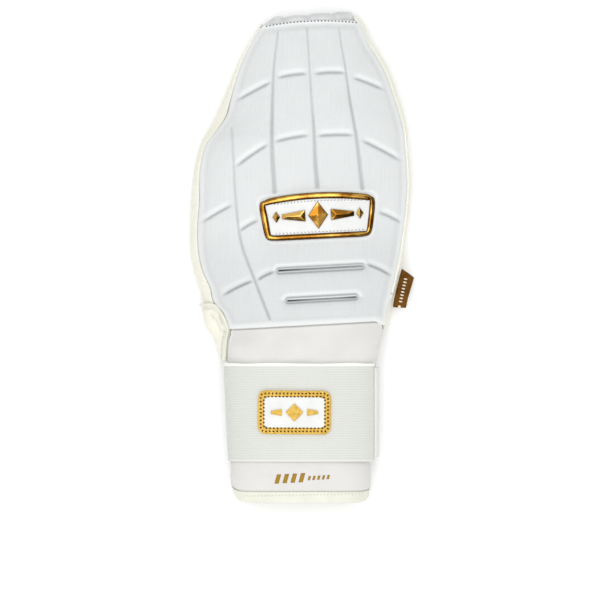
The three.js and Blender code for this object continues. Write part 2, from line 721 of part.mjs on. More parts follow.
// Folded strip that wraps the cuff's open end, inside and outside.
function makeCuffHem() {
  const clear = GAP + HEM_WALL;
  const upper = 1 - HEM_HEIGHT / CUFF_LENGTH;
  const section = [
    { at: upper, grow: clear, shift: 0 },
    { at: 1, grow: clear, shift: -clear * 0.4 },
    { at: 1, grow: clear * 0.4, shift: -clear },
    { at: 1, grow: -CUFF_WALL - clear * 0.4, shift: -clear },
    { at: 1, grow: -CUFF_WALL - clear, shift: -clear * 0.4 },
    { at: upper, grow: -CUFF_WALL - clear, shift: 0 },
    { at: upper, grow: -CUFF_WALL - GAP, shift: 0 },
    { at: 1, grow: -CUFF_WALL - GAP, shift: -GAP },
    { at: 1, grow: GAP, shift: -GAP },
    { at: upper, grow: GAP, shift: 0 },
  ];
  return loft(
    section.map((row) => cuffRing(row.at, row.grow, row.shift)),
    true,
  );
}

// Outer section of the wrist strap at its upper (0) or lower (1) edge.
function strapLevel(lower, grow) {
  const at = (STRAP_TOP + STRAP_WIDTH * lower) / CUFF_LENGTH;
  const middle = column(CUFF_ROWS, "middle", at) * CUFF_HALF;
  const half = column(CUFF_ROWS, "half", at) * CUFF_HALF;
  const left = middle - half - GAP - mix(0.9, 0.1, lower);
  const right = column(CUFF_ROWS, "middle", STRAP_TOP / CUFF_LENGTH) * CUFF_HALF;
  const wide = column(CUFF_ROWS, "half", STRAP_TOP / CUFF_LENGTH) * CUFF_HALF;
  return {
    y: WRIST_SEAM - STRAP_TOP - STRAP_WIDTH * lower,
    left: left - grow,
    right: right + wide + GAP + grow,
    floor: CUFF_FLOOR - GAP - grow,
    top: CUFF_FLOOR + CUFF_DEPTH + GAP + grow,
  };
}

// A band round the wrist between two angles, from one growth outside the cuff to another.
function bandLoops(angles, count, inner, outer, inset) {
  const ring = (lower, grow) => {
    const level = strapLevel(lower, 0);
    const middle = (level.left + level.right) / 2;
    const half = (level.right - level.left) / 2;
    return oblong(middle, half, level.floor, level.top, count, angles).map((p) => {
      const centre = (level.floor + level.top) / 2;
      const away = new THREE.Vector2((p.x - middle) / half, (p.z - centre) / (level.top - centre));
      away.normalize().multiplyScalar(typeof grow === "function" ? grow(p.angle) : grow);
      const y = level.y + (lower === 0 ? -inset : inset);
      return new THREE.Vector3(p.x + away.x, y, p.z + away.y);
    });
  };
  const lines = [ring(0, outer), ring(1, outer), ring(1, inner), ring(0, inner)];
  return lines[0].map((_, i) => lines.map((line) => line[i]));
}

const STRAP_START = 0.37; // radians from the right side
const STRAP_END = 2 * Math.PI - 0.55;
const TAB_END = -0.95;
const TAB_WALL = 1.8;

function makeStrap() {
  return loft(bandLoops([STRAP_START, STRAP_END], 40, 0, STRAP_WALL, 0));
}

function makeStrapTab() {
  const clear = STRAP_WALL + GAP;
  const inner = (angle) => clear * smooth((-0.2 - angle) / 0.3);
  const outer = (angle) => inner(angle) + TAB_WALL;
  return loft(bandLoops([STRAP_START - 0.02, TAB_END], 14, inner, outer, TAB_INSET));
}

// Top surface of the strap on its front.
function strapTop(x, y) {
  const lower = (WRIST_SEAM - STRAP_TOP - y) / STRAP_WIDTH;
  const level = strapLevel(lower, 0);
  const share = Math.abs((2 * x - level.left - level.right) / (level.right - level.left));
  const half = (level.top - level.floor) / 2;
  return level.floor + half + half * (1 - share ** WRIST_SQUARE) ** (1 / WRIST_SQUARE) + STRAP_WALL;
}

function padSurface(x, y) {
  return padTop(x, handShare(x, y));
}

// Places an outline's points on a surface, turned about a centre.
function placed(outline, centre, turn) {
  return outline.map((p) => ({
    x: centre.x + p.x * Math.cos(turn) - p.y * Math.sin(turn),
    y: centre.y + p.x * Math.sin(turn) + p.y * Math.cos(turn),
  }));
}

function offsetOutline(outline, inset) {
  return outline.map((p, i) => {
    const before = outline[(i + outline.length - 1) % outline.length];
    const after = outline[(i + 1) % outline.length];
    const along = new THREE.Vector2(after.x - before.x, after.y - before.y).normalize();
    return { x: p.x - along.y * inset, y: p.y + along.x * inset };
  });
}

function onSurface(outline, seat, height) {
  return placed(outline, seat.centre, seat.turn).map(
    (p) => new THREE.Vector3(p.x, p.y, seat.surface(p.x, p.y) + height),
  );
}

// A flat piece that lies on a curved surface, with a chamfered upper edge.
function inlay(outline, seat, base, height, chamfer) {
  const shrink = (sx, sy, from) => from.map((p) => ({ x: p.x * sx, y: p.y * sy }));
  const edge = offsetOutline(outline, chamfer);
  return loft([
    onSurface(shrink(0.95, 0.12, outline), seat, base),
    onSurface(shrink(0.98, 0.6, outline), seat, base),
    onSurface(outline, seat, base),
    onSurface(outline, seat, base + height - chamfer),
    onSurface(edge, seat, base + height),
    onSurface(shrink(0.98, 0.6, edge), seat, base + height),
    onSurface(shrink(0.95, 0.12, edge), seat, base + height),
  ]);
}

// A closed rim of a given width inside an outline, with bevelled shoulders.
function rimRing(outline, seat, base, width, height) {
  const bevel = width * 0.3;
  const section = [
    { inset: 0, rise: 0 },
    { inset: 0, rise: height * 0.55 },
    { inset: bevel, rise: height },
    { inset: width - bevel, rise: height },
    { inset: width, rise: height * 0.55 },
    { inset: width, rise: 0 },
  ];
  const loops = section.map((row) => onSurface(offsetOutline(outline, row.inset), seat, base + row.rise));
  return loft(loops, true);
}

// Evenly spread points round a shape that starts at its left middle.
function spaced(shape, count) {
  const points = shape.getSpacedPoints(count);
  points.pop();
  return points.map((p) => ({ x: p.x, y: p.y }));
}

// The back badge: wider at its top, which is arched, with round corners.
function badgeOutline(count) {
  const top = BADGE_WIDTH / 2;
  const low = top * 0.92;
  const half = BADGE_HEIGHT / 2;
  const shoulder = half * 0.72;
  const round = BADGE_ROUND;
  const shape = new THREE.Shape();
  shape.moveTo(-(top + low) / 2, 0);
  shape.lineTo(-low - round * 0.05, -half + round);
  shape.quadraticCurveTo(-low, -half, -low + round, -half);
  shape.lineTo(low - round, -half);
  shape.quadraticCurveTo(low, -half, low + round * 0.05, -half + round);
  shape.lineTo(top, shoulder - round);
  shape.quadraticCurveTo(top, shoulder, top - round, shoulder + 0.8);
  shape.quadraticCurveTo(0, half * 1.27, -top + round, shoulder + 0.8);
  shape.quadraticCurveTo(-top, shoulder, -top, shoulder - round);
  shape.closePath();
  return spaced(shape, count);
}

function roundedBox(width, height, round, count) {
  const w = width / 2;
  const h = height / 2;
  const shape = new THREE.Shape();
  shape.moveTo(-w, 0);
  shape.lineTo(-w, -h + round);
  shape.absarc(-w + round, -h + round, round, Math.PI, 1.5 * Math.PI);
  shape.lineTo(w - round, -h);
  shape.absarc(w - round, -h + round, round, -0.5 * Math.PI, 0);
  shape.lineTo(w, h - round);
  shape.absarc(w - round, h - round, round, 0, 0.5 * Math.PI);
  shape.lineTo(-w + round, h);
  shape.absarc(-w + round, h - round, round, 0.5 * Math.PI, Math.PI);
  shape.closePath();
  return spaced(shape, count);
}

// A lozenge with pointed ends, its points split on each side.
function lozenge(width, height, split) {
  const corners = [
    [-width / 2, 0],
    [0, -height / 2],
    [width / 2, 0],
    [0, height / 2],
  ];
  const points = corners.flatMap(([x, y], i) => {
    const [nx, ny] = corners[(i + 1) % 4];
    return steps(0, 1, split)
      .slice(0, -1)
      .map((f) => ({ x: mix(x, nx, f), y: mix(y, ny, f) }));
  });
  return points;
}

// A bar that tapers to one side, with its wide end at x 0.
function taperedBar(length, wide, narrow, direction) {
  const across = steps(0, 1, 4);
  const lower = across.map((f) => ({ x: mix(0, direction * length, f), y: -mix(wide, narrow, f) / 2 }));
  const upper = lower.map((p) => ({ x: p.x, y: -p.y })).reverse();
  const ring = [...lower, ...upper];
  const middle = (direction * length) / 2;
  const turned = direction > 0 ? ring : ring.reverse();
  return turned.map((p) => ({ x: p.x - middle, y: p.y }));
}

const backSeat = (shift) => {
  const y = handY(BADGE_ALONG, BADGE_ACROSS);
  const centre = {
    x: BADGE_ACROSS + shift * Math.cos(BADGE_TURN),
    y: y + shift * Math.sin(BADGE_TURN),
  };
  return { centre, turn: BADGE_TURN, surface: padSurface };
};

const wristSeat = (shift) => ({
  centre: { x: WRIST_BADGE_X + shift, y: WRIST_SEAM - STRAP_TOP - WRIST_BADGE_DROP },
  turn: -0.01,
  surface: strapTop,
});

// How far the right gusset bulges at a share along the hand, on palm or heel.
function rightBulge(along) {
  if (along >= SEAM_AT) return handX("outRight", along);
  const share = ((SEAM_AT - along) * HAND_LENGTH) / HEEL_LENGTH;
  return column(HEEL_ROWS, "outRight", share) * HAND_HALF;
}

// Folded tab that stands out of the right gusset, across the seam of palm and heel.
function makeSideTab() {
  const lower = SEAM_AT - SIDE_TAB_BELOW / HAND_LENGTH;
  const upper = lower + SIDE_TAB_LENGTH / HAND_LENGTH;
  const inner = steps(lower, upper, 4).map((along) => {
    const x = rightBulge(along) + GAP;
    return { x, y: handY(along, x) };
  });
  const first = inner[0];
  const last = inner[inner.length - 1];
  const outerLow = { x: first.x + SIDE_TAB_OUT * (1 + SIDE_TAB_SKEW), y: first.y - SIDE_TAB_DROP };
  const outerHigh = { x: last.x + SIDE_TAB_OUT * (1 - SIDE_TAB_SKEW), y: last.y - SIDE_TAB_SLANT };
  const outer = steps(0, 1, 4).map((f) => ({
    x: mix(outerLow.x, outerHigh.x, f),
    y: mix(outerLow.y, outerHigh.y, f),
  }));
  const level = (z) => [...inner, ...outer.slice().reverse()].map((p) => new THREE.Vector3(p.x, p.y, z));
  const base = WIDEST_HEIGHT + SIDE_TAB_RISE;
  return loft([level(base), level(base + SIDE_TAB_THICK)]);
}

function addPiece(group, name, geometry, colour, roughness, metalness = 0) {
  const material = new THREE.MeshStandardMaterial({ color: colour, roughness, metalness });
  const mesh = new THREE.Mesh(geometry, material);
  mesh.name = name;
  group.add(mesh);
}

const mitt = new THREE.Group();

addPiece(mitt, "back_pad", makeBackPad(), PAD_COLOUR, 0.8);
addPiece(mitt, "tip_wrap", makeTipWrap(), PAD_COLOUR, 0.75);
addPiece(mitt, "palm_shell", makePalmShell(), LEATHER_COLOUR, 0.55);
addPiece(mitt, "palm_heel", makePalmHeel(), LEATHER_COLOUR, 0.55);
addPiece(mitt, "heel_binding", makeHeelBinding(), LEATHER_COLOUR, 0.5);
addPiece(mitt, "cuff", makeCuff(), CUFF_COLOUR, 0.85);
addPiece(mitt, "cuff_hem", makeCuffHem(), LEATHER_COLOUR, 0.7);
addPiece(mitt, "strap", makeStrap(), STRAP_COLOUR, 0.8);
addPiece(mitt, "strap_tab", makeStrapTab(), STRAP_COLOUR, 0.8);
addPiece(mitt, "side_tab", makeSideTab(), TAB_COLOUR, 0.8);

// Back badge: white field, gilt rim and a raised ornament in five pieces.
const ornamentBase = 2 * GAP + BADGE_THICK;
const fieldOutline = offsetOutline(badgeOutline(40), RIM_WIDTH + GAP);
addPiece(mitt, "badge_plate", inlay(fieldOutline, backSeat(0), GAP, BADGE_THICK, 0.3), BADGE_COLOUR, 0.6);
const rim = rimRing(badgeOutline(40), backSeat(0), GAP, RIM_WIDTH, RIM_HEIGHT);
addPiece(mitt, "badge_rim", rim, GILT_COLOUR, 0.25, 1);
const lozengeShape = lozenge(BADGE_WIDTH * 0.17, BADGE_HEIGHT * 0.58, 3);
const lozengePiece = inlay(lozengeShape, backSeat(0), ornamentBase, ORNAMENT_HEIGHT, 0.5);
addPiece(mitt, "badge_lozenge", lozengePiece, GILT_COLOUR, 0.25, 1);
for (const [side, direction] of [["left", -1], ["right", 1]]) {
  const bar = taperedBar(BADGE_WIDTH * 0.2, BADGE_HEIGHT * 0.24, BADGE_HEIGHT * 0.1, direction);
  const barPiece = inlay(bar, backSeat(direction * BADGE_WIDTH * 0.21), ornamentBase, ORNAMENT_HEIGHT, 0.45);
  addPiece(mitt, "badge_bar_" + side, barPiece, GILT_COLOUR, 0.25, 1);
  const stud = lozenge(BADGE_WIDTH * 0.065, BADGE_HEIGHT * 0.24, 2);
  const studPiece = inlay(stud, backSeat(direction * BADGE_WIDTH * 0.36), ornamentBase, ORNAMENT_HEIGHT, 0.4);
  addPiece(mitt, "badge_stud_" + side, studPiece, GILT_COLOUR, 0.25, 1);
}

// Wrist badge: white field, stitched gilt frame and three flat marks.
const innerWidth = WRIST_BADGE_WIDTH - 2 * (FRAME_WIDTH + GAP);
const innerHeight = WRIST_BADGE_HEIGHT - 2 * (FRAME_WIDTH + GAP);
const wristField = roundedBox(innerWidth, innerHeight, WRIST_FIELD_ROUND, 28);
const wristPlate = inlay(wristField, wristSeat(0), GAP, WRIST_BADGE_THICK, 0.2);
addPiece(mitt, "wrist_badge_plate", wristPlate, BADGE_COLOUR, 0.7);
const wristOutline = roundedBox(WRIST_BADGE_WIDTH, WRIST_BADGE_HEIGHT, WRIST_BADGE_ROUND, 36);
const frame = rimRing(wristOutline, wristSeat(0), GAP, FRAME_WIDTH, FRAME_HEIGHT);
addPiece(mitt, "wrist_badge_frame", frame, GILT_COLOUR, 0.6);
const wristBase = 2 * GAP + WRIST_BADGE_THICK;
const mark = lozenge(innerHeight * 0.62, innerHeight * 0.62, 2);
const diamond = inlay(mark, wristSeat(0), wristBase, STRIPE_HEIGHT, 0.3);
addPiece(mitt, "wrist_badge_diamond", diamond, GILT_COLOUR, 0.6);
for (const [side, direction] of [["left", -1], ["right", 1]]) {
  const stripe = taperedBar(innerWidth * 0.19, innerHeight * 0.24, innerHeight * 0.1, direction);
  const stripePiece = inlay(stripe, wristSeat(direction * innerWidth * 0.31), wristBase, STRIPE_HEIGHT, 0.3);
  addPiece(mitt, "wrist_badge_stripe_" + side, stripePiece, GILT_COLOUR, 0.6);
}

export default mitt;
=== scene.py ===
import math
from contextlib import contextmanager

import bmesh
import bpy
import numpy as np
from mathutils import Matrix, Vector
from mathutils.bvhtree import BVHTree


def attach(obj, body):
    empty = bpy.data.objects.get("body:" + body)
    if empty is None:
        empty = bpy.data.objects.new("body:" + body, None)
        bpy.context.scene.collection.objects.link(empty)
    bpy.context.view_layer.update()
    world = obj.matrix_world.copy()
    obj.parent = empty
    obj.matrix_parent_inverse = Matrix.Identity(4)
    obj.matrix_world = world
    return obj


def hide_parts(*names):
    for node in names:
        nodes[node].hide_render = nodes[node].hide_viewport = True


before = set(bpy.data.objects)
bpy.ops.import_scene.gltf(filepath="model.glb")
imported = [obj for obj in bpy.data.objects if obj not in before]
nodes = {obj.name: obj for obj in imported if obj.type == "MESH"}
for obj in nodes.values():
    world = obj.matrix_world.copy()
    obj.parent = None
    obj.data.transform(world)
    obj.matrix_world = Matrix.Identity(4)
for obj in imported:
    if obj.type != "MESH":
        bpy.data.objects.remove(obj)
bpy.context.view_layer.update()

# Looks of a padded sliding mitt that lies on its palm: fingers along +Y, back of the hand up.
# Sizes are millimetres, and each finished mesh is stored in metres.
MM = 0.001
WELD = 1e-6  # points nearer than this, in metres, are one

# Hand part, as the solids have it.
HAND_LENGTH = 210.4
HAND_HALF = 77.4
HAND_DEPTH = 50
WRIST_SEAM = -48.1
HAND_LEAN = 0.055
TIP_ARCH = 2
GAP = 0.3
PAD_THICK = 9.5
PAD_EDGE = 4
PAD_MARGIN = 3.2
PAD_STEP = 1.6
PAD_RAMP = 3
PAD_ROUND = 1.2
BACK_SHOULDER = 2.6
BACK_FALL = 0.85

# Palm, heel and finger cap.
LEATHER = 1.8
RIM_DROP = 1
WIDEST_HEIGHT = 12
PALM_CORNER = 14
SEAM_AT = 0.088
HEEL_LENGTH = 32.5
HEEL_LEAN = 0.2
TIP_WALL = 1.8
TIP_REACH = 6.9
TIP_SIDES = 1.2
TIP_BOXY = 0.55

# Wrist part.
CUFF_HALF = 52.5
CUFF_DEPTH = 38
CUFF_LENGTH = 122.5
CUFF_FLOOR = 2.4
CUFF_WALL = 3
WRIST_SQUARE = 2.5
CUFF_LIFT_LEFT = 9
CUFF_LIFT_RIGHT = 3.5
HEM_HEIGHT = 6.3
STRAP_TOP = 26.3
STRAP_WIDTH = 68.6
STRAP_WALL = 1.5
STRAP_START = 0.37
STRAP_END = 2 * math.pi - 0.55
TAB_INSET = 3
TAB_WALL = 1.8
TAB_END = -0.95

# Badge on the strap.
WRIST_BADGE_X = -3.9
WRIST_BADGE_DROP = 34.3
WRIST_BADGE_WIDTH = 51
WRIST_BADGE_HEIGHT = 30.5

# Badge on the back of the hand.
BADGE_ALONG = 0.362
BADGE_ACROSS = 12.6
BADGE_WIDTH = 81
BADGE_HEIGHT = 33
BADGE_TURN = 0.05
BADGE_ROUND = 5
RIM_WIDTH = 3.5

# Relief that only the looks have. Widths and heights are mm; greys are painted shade and brights painted
# highlight, both as shares from 0 to 1.
LONG_CORE = 0.8  # share of a long groove's depth at its sewn line ...
LONG_SPREAD = 2.5  # ... and how far the rest of the depth reaches
# painted shade along a long groove's sewn line
LONG_PAINTED_SHADE = 0.3
CROSS_DEPTH = 2.1
CROSS_SOFT = 2.4  # a cross groove's gentle slope on the finger side ...
CROSS_SHARP = 0.75  # ... and its steep one on the wrist side
CROSS_TAPER = 0.28  # share of its length over which it runs out
# painted shade in a cross groove, and how wide it is
CROSS_PAINTED_SHADE = 0.42
CROSS_PAINTED_SHADE_WIDTH = 0.85
CROSS_RIDGE = 0.25  # height of the ridge on its finger side ...
CROSS_RIDGE_AT = 2.8  # ... and how far from the groove it stands
CROSS_RIDGE_WIDTH = 1.8
# painted highlight on the ridge beside a cross groove
CROSS_RIDGE_HIGHLIGHT = 0.55
CELL_PUFF = 0.9  # crown of a cell over its grooves
CELL_REACH = 6
CELL_BLOWN = 0.75  # share of the crown that the simulated cloth gives
SLOT_HALF = 2.0  # from a flex slot's middle to its outline
SLOT_OUTLINE = 1.2  # depth of the outline's groove
SLOT_DEPTH = 3.2
SLOT_SHADE = 0.26  # grey of the shade on its wrist side
SLIT_HALF = 0.5
# the band inside a slot and the swelling beside it also get a painted highlight
BAND_HEIGHT = 0.5  # the light band inside a slot ...
BROW_HEIGHT = 0.6  # ... and the swelling on its finger side
BADGE_CREST = 15.9  # the badge's upper edge over its middle ...
BADGE_CREST_FALL = 2.1  # ... and how far it falls to the corners
BADGE_LIP = 0.4  # the pad's lip round the badge
BADGE_LIP_WIDTH = 1.1
# painted highlight on the pad's lip round the badge
BADGE_LIP_HIGHLIGHT = 0.75
# painted shade that makes the pad near the wrist greyer
LOW_PAINTED_SHADE = 0.1  # the pad's part near the wrist is a little greyer
# the borders' brightness is paler knit with a painted highlight on it
WRIST_BRIGHT = 0.55  # the pad's borders are brighter than its cells
TIP_BRIGHT = 0.8
SIDE_BRIGHT = 0.3
PAD_OVERLAP = 0.7  # the knit's edge lies over the gap to the leather
TIP_CORNER = 4.2  # its right corner at the tip stands further out ...
WRIST_DROOP = 3.2  # ... and its right corner at the wrist hangs lower
PAD_ROW_SHARES = (0, 0.05, 0.36, 1)  # rows of the fine mesh ...
PAD_ROW_PLACES = (0, 0.06, 0.215, 1)  # ... are closer together round the flex slots

# Cloth that is blown up between its seams.
SWELL_FRAMES = 20
SWELL_PRESSURE = 4
SWELL_COLUMNS = 80
SWELL_ROWS = 110
SEWN_REACH = 1.2  # the cloth is held this near to a sewn line
LOBE_SWELL = 0.8  # the most that a finger lobe swells

# Relief of leather, cap and wrist part.
SECTION_RIM = 0.24  # share of half a gusset section from rim to bulge ...
SECTION_CORNER = 0.55  # ... and from there to the end of the round corner
HEEL_CREASE = ((-62.0, -41.0), (-58.2, -44.8), (-55.6, -51.5))  # a soft fold under the thumb side
HEEL_CREASE_DEPTH = 1.6
HEEL_SEAM_INSET = 3.2  # the line of sewing beside the rolled binding
HEEL_RIM_DROP = 3
PLEAT_HEIGHT = 0.35
CUFF_START_SQUARE = 4.2  # the cuff is squarer and wider where it meets the pad ...
CUFF_START_WIDER = 1.3
CUFF_BELOW_PAD = 0.9  # ... lies this far below the pad's base ...
CUFF_SEAM_DEPTH = 1.7  # ... and has this deep a groove at the seam
CUFF_RIPPLE = 0.35
CORNER_SHARP = 14  # how closely the cuff's raised lower corners keep to its sides
HEM_PUCKER = 0.07
HEM_PUCKERS = 110
HEM_FLUSH = 0.9
STRAP_RIB = 1.7  # pitch of the strap's woven ribs
STRAP_RIB_HEIGHT = 0.1
STRAP_FOLD = 2.1  # height of the strap's folded upper edge ...
STRAP_FOLD_RISE = 0.45  # ... and how far it stands out
STRAP_EDGE = 0.014  # share of the strap's width in its lower edge
STRAP_EDGE_RISE = 0.3
STRAP_WAVE = 0.25
BOSS_RISE = 0.8  # a badge's ornament: its wall ...
BOSS_ROOF = 1.4  # ... and its facets above that

# Base colours, from the darker to the lighter places of each finish.
KNIT_TONES = ((0.612, 0.630, 0.626), (0.670, 0.687, 0.682))
KNIT_BETWEEN = (0.585, 0.604, 0.608)
# painted highlight of the knit, then painted shade in its grooves, slots and near the wrist
KNIT_PAINTED_HIGHLIGHT = (0.77, 0.785, 0.785)
KNIT_PAINTED_SHADE = (0.10, 0.11, 0.115)
TIP_TONES = ((0.48, 0.49, 0.495), (0.61, 0.62, 0.62))
LEATHER_TONES = ((0.76, 0.755, 0.65), (0.83, 0.825, 0.745))
LEATHER_PORES = (0.70, 0.69, 0.59)
# darker line of sewing on the heel, and painted shade in its fold
LEATHER_FOLD_SHADE = (0.30, 0.29, 0.23)
BINDING_TONES = ((0.65, 0.65, 0.56), (0.71, 0.71, 0.62))
JERSEY_TONES = ((0.60, 0.592, 0.57), (0.64, 0.633, 0.61))
ELASTIC_TONES = ((0.63, 0.645, 0.60), (0.68, 0.693, 0.655))
ELASTIC_BETWEEN = (0.615, 0.63, 0.59)
# painted shade between the strap's ribs
ELASTIC_RIB_SHADE = (0.57, 0.585, 0.545)
ELASTIC_FOLD = (0.79, 0.79, 0.75)
BADGE_TONES = ((0.66, 0.67, 0.66), (0.72, 0.73, 0.72))
# painted reflections on the gilt: bright and brown bands, and a dark reflection on steep flanks
GILT_REFLECTION_TONES = ((0.34, 0.145, 0.016), (0.86, 0.53, 0.13))
RIM_REFLECTION_TONES = ((0.27, 0.11, 0.011), (0.72, 0.42, 0.09))
GILT_DARK_REFLECTION = (0.05, 0.017, 0.002)
GILT_TINT = (0.6, 0.33, 0.08)
GILT_THREAD_TONES = ((0.60, 0.33, 0.035), (1.0, 0.70, 0.17))
TAB_TONES = ((0.085, 0.032, 0.003), (0.20, 0.085, 0.011))
# painted shade of the needle holes between the badge field's white stitches
BADGE_STITCH_SHADE_TONES = ((0.26, 0.27, 0.27), (0.40, 0.41, 0.40))
# painted shade of needle holes, in the wrist badge's frame and along the tip's seam
GILT_HOLE_SHADE_TONES = ((0.06, 0.02, 0.001), (0.12, 0.045, 0.003))
SEAM_HOLE_SHADE_TONES = ((0.03, 0.032, 0.035), (0.12, 0.125, 0.13))
HEM_THREAD_TONES = ((0.47, 0.47, 0.40), (0.58, 0.58, 0.50))
TAB_MARK_TONES = ((0.62, 0.54, 0.44), (0.80, 0.74, 0.66))
INK_TONES = ((0.27, 0.155, 0.015), (0.36, 0.215, 0.03))
FLOOR_TONES = ((0.93, 0.93, 0.93), (0.95, 0.95, 0.95))
FLAG_COLOUR = (0.012, 0.009, 0.006)

# Camera.
PHOTO_WIDTH = 0.42  # width of the picture at the mitt's middle height, in metres
VIEW_CENTRE_Y = -0.0303
CAMERA_HEIGHT = 6.0
FOCUS_HEIGHT = 0.02


def table(names, *rows):
    """The columns of a short table, each an array under its own name."""
    return dict(zip(names.split(), np.array(rows, float).T))


# Hand sections from wrist (0) to finger seam (1): pad edges and gusset bulges as shares of HAND_HALF.
HAND_ROWS = table(
    "at pad_left pad_right out_left out_right",
    (0.0, -0.629, 0.76, -0.837, 0.795),
    (0.052, -0.683, 0.784, -0.878, 0.82),
    (0.092, -0.767, 0.814, -0.87, 0.851),
    (0.141, -0.801, 0.846, -0.902, 0.89),
    (0.201, -0.871, 0.882, -0.962, 0.926),
    (0.268, -0.908, 0.911, -0.994, 0.955),
    (0.344, -0.915, 0.939, -0.995, 0.982),
    (0.434, -0.898, 0.959, -0.985, 1.003),
    (0.517, -0.899, 0.954, -0.964, 0.995),
    (0.584, -0.871, 0.939, -0.932, 0.977),
    (0.627, -0.826, 0.928, -0.894, 0.97),
    (0.664, -0.742, 0.905, -0.835, 0.95),
    (0.71, -0.656, 0.869, -0.762, 0.918),
    (0.76, -0.619, 0.826, -0.703, 0.874),
    (0.817, -0.579, 0.772, -0.637, 0.822),
    (0.877, -0.529, 0.69, -0.57, 0.745),
    (0.933, -0.462, 0.59, -0.497, 0.65),
    (0.977, -0.385, 0.51, -0.42, 0.575),
    (1.0, -0.33, 0.456, -0.372, 0.535),
)

# Heights of the pad's crown and of its side edges, as shares of HAND_DEPTH.
HEIGHT_ROWS = table(
    "at crown edge",
    (0.0, 0.86, 0.52),
    (0.2, 0.94, 0.53),
    (0.42, 1.0, 0.53),
    (0.65, 0.95, 0.5),
    (0.8, 0.82, 0.46),
    (0.9, 0.72, 0.43),
    (1.0, 0.6, 0.4),
)

# Heel panel from its seam (0) to its lower edge (1): bulge on each side as shares of HAND_HALF.
HEEL_ROWS = table(
    "at out_left out_right",
    (0.0, -0.885, 0.853),
    (0.33, -0.858, 0.826),
    (0.66, -0.765, 0.81),
    (1.0, -0.712, 0.8),
)

# Cuff sections below the wrist seam: middle and half width as shares of CUFF_HALF, underside and
# top as shares of CUFF_DEPTH above CUFF_FLOOR.
CUFF_ROWS = table(
    "at middle half floor top",
    (-0.045, 0.1, 0.86, 0.0, 0.86),
    (0.006, 0.084, 0.975, 0.0, 0.93),
    (0.035, 0.085, 1.01, 0.0, 0.975),
    (0.08, 0.06, 1.013, 0.0, 1.0),
    (0.2, 0.025, 0.995, 0.0, 1.0),
    (0.5, 0.012, 0.965, 0.0, 0.985),
    (0.78, 0.006, 0.933, 0.0, 0.98),
    (0.935, 0.01, 0.932, 0.0, 0.985),
    (0.95, 0.01, 0.905, 0.03, 0.95),
    (1.0, 0.01, 0.9, 0.03, 0.95),
)

# Sewn grooves along the hand, as shares along the hand and across the pad.
LONG_GROOVES = [
    table(
        "along across",
        (0.67, -0.86),
        (0.573, -0.698),
        (0.41, -0.65),
        (0.282, -0.58),
        (0.164, -0.51),
        (0.026, -0.465),
    ),
    table(
        "along across",
        (0.975, -0.58),
        (0.86, -0.51),
        (0.732, -0.48),
        (0.593, -0.32),
        (0.447, -0.28),
    ),
    table(
        "along across",
        (0.98, 0.0),
        (0.738, 0.0),
        (0.645, 0.07),
        (0.535, 0.12),
        (0.456, 0.137),
    ),
    table(
        "along across",
        (0.975, 0.63),
        (0.86, 0.505),
        (0.743, 0.465),
        (0.607, 0.527),
        (0.442, 0.572),
    ),
]

# How each long groove's half width grows from its start to its end, and how deep it is.
LONG_FORMS = table(
    "start end depth",
    (0.7, 0.85, 1.5),
    (0.6, 1.35, 2.1),
    (0.5, 1.35, 2.1),
    (0.45, 1.3, 2.1),
)

# Cross grooves with their two ends and how far the middle bows to the fingers.
CROSS_GROOVES = table(
    "along across along_end across_end bow",
    (0.758, -0.935, 0.812, -0.52, 0.003),
    (0.824, -0.45, 0.831, -0.04, 0.002),
    (0.829, 0.05, 0.829, 0.48, 0.002),
    (0.813, 0.555, 0.768, 0.915, 0.003),
    (0.538, -0.66, 0.607, -0.36, 0.002),
    (0.613, -0.31, 0.628, 0.035, 0.002),
    (0.624, 0.115, 0.621, 0.5, 0.002),
    (0.604, 0.57, 0.527, 0.955, 0.003),
    (0.358, -0.97, 0.412, -0.685, 0.002),
    (0.324, -0.6, 0.357, -0.42, 0.002),
    (0.363, 0.74, 0.323, 0.975, 0.002),
    (0.113, -0.895, 0.158, -0.52, 0.003),
    (0.158, -0.48, 0.183, -0.28, 0.002),
    (0.194, 0.66, 0.148, 0.965, 0.003),
)

# Flex slots: where the slit and the light band lie from the middle, and how dark the slit is.
FLEX_SLOTS = table(
    "along left right slit band left_dark middle_dark right_dark",
    (0.185, -0.225, 0.63, 0.15, -0.95, 0.95, 0.42, 0.36),
    (0.085, -0.165, 0.6, -0.2, 0.85, 0.95, 0.42, 0.75),
)

# Finger lobes from left to right: sides as shares of the cap's width, crest as a share of TIP_REACH.
TIP_LOBES = table(
    "start end reach",
    (0.0, 0.23, 0.84),
    (0.23, 0.49, 0.72),
    (0.49, 0.757, 0.81),
    (0.757, 1.0, 1.0),
)

# The hem's section from its outer upper edge round the open end and back: growth and shift in mm.
HEM_SECTION = table(
    "at upper grow shift",
    (0.0, 1, 1.3, 0.0),
    (0.1, 0.55, 1.45, 0.0),
    (0.2, 0.1, 1.4, -0.2),
    (0.3, 0, 0.8, -1.1),
    (0.4, 0, -1.4, -1.45),
    (0.5, 0, -3.8, -1.1),
    (0.6, 0.2, -4.3, -0.3),
    (0.7, 1, -4.2, 0.0),
    (0.78, 1, -3.4, 0.1),
    (0.84, 0.1, -3.3, -0.3),
    (0.9, 0.1, 0.3, -0.3),
    (0.96, 1, 0.3, 0.1),
    (1.0, 1, 1.3, 0.0),
)


def row(rows, i):
    """One row of a table, with each value under its column's name."""
    return {name: values[i] for name, values in rows.items()}


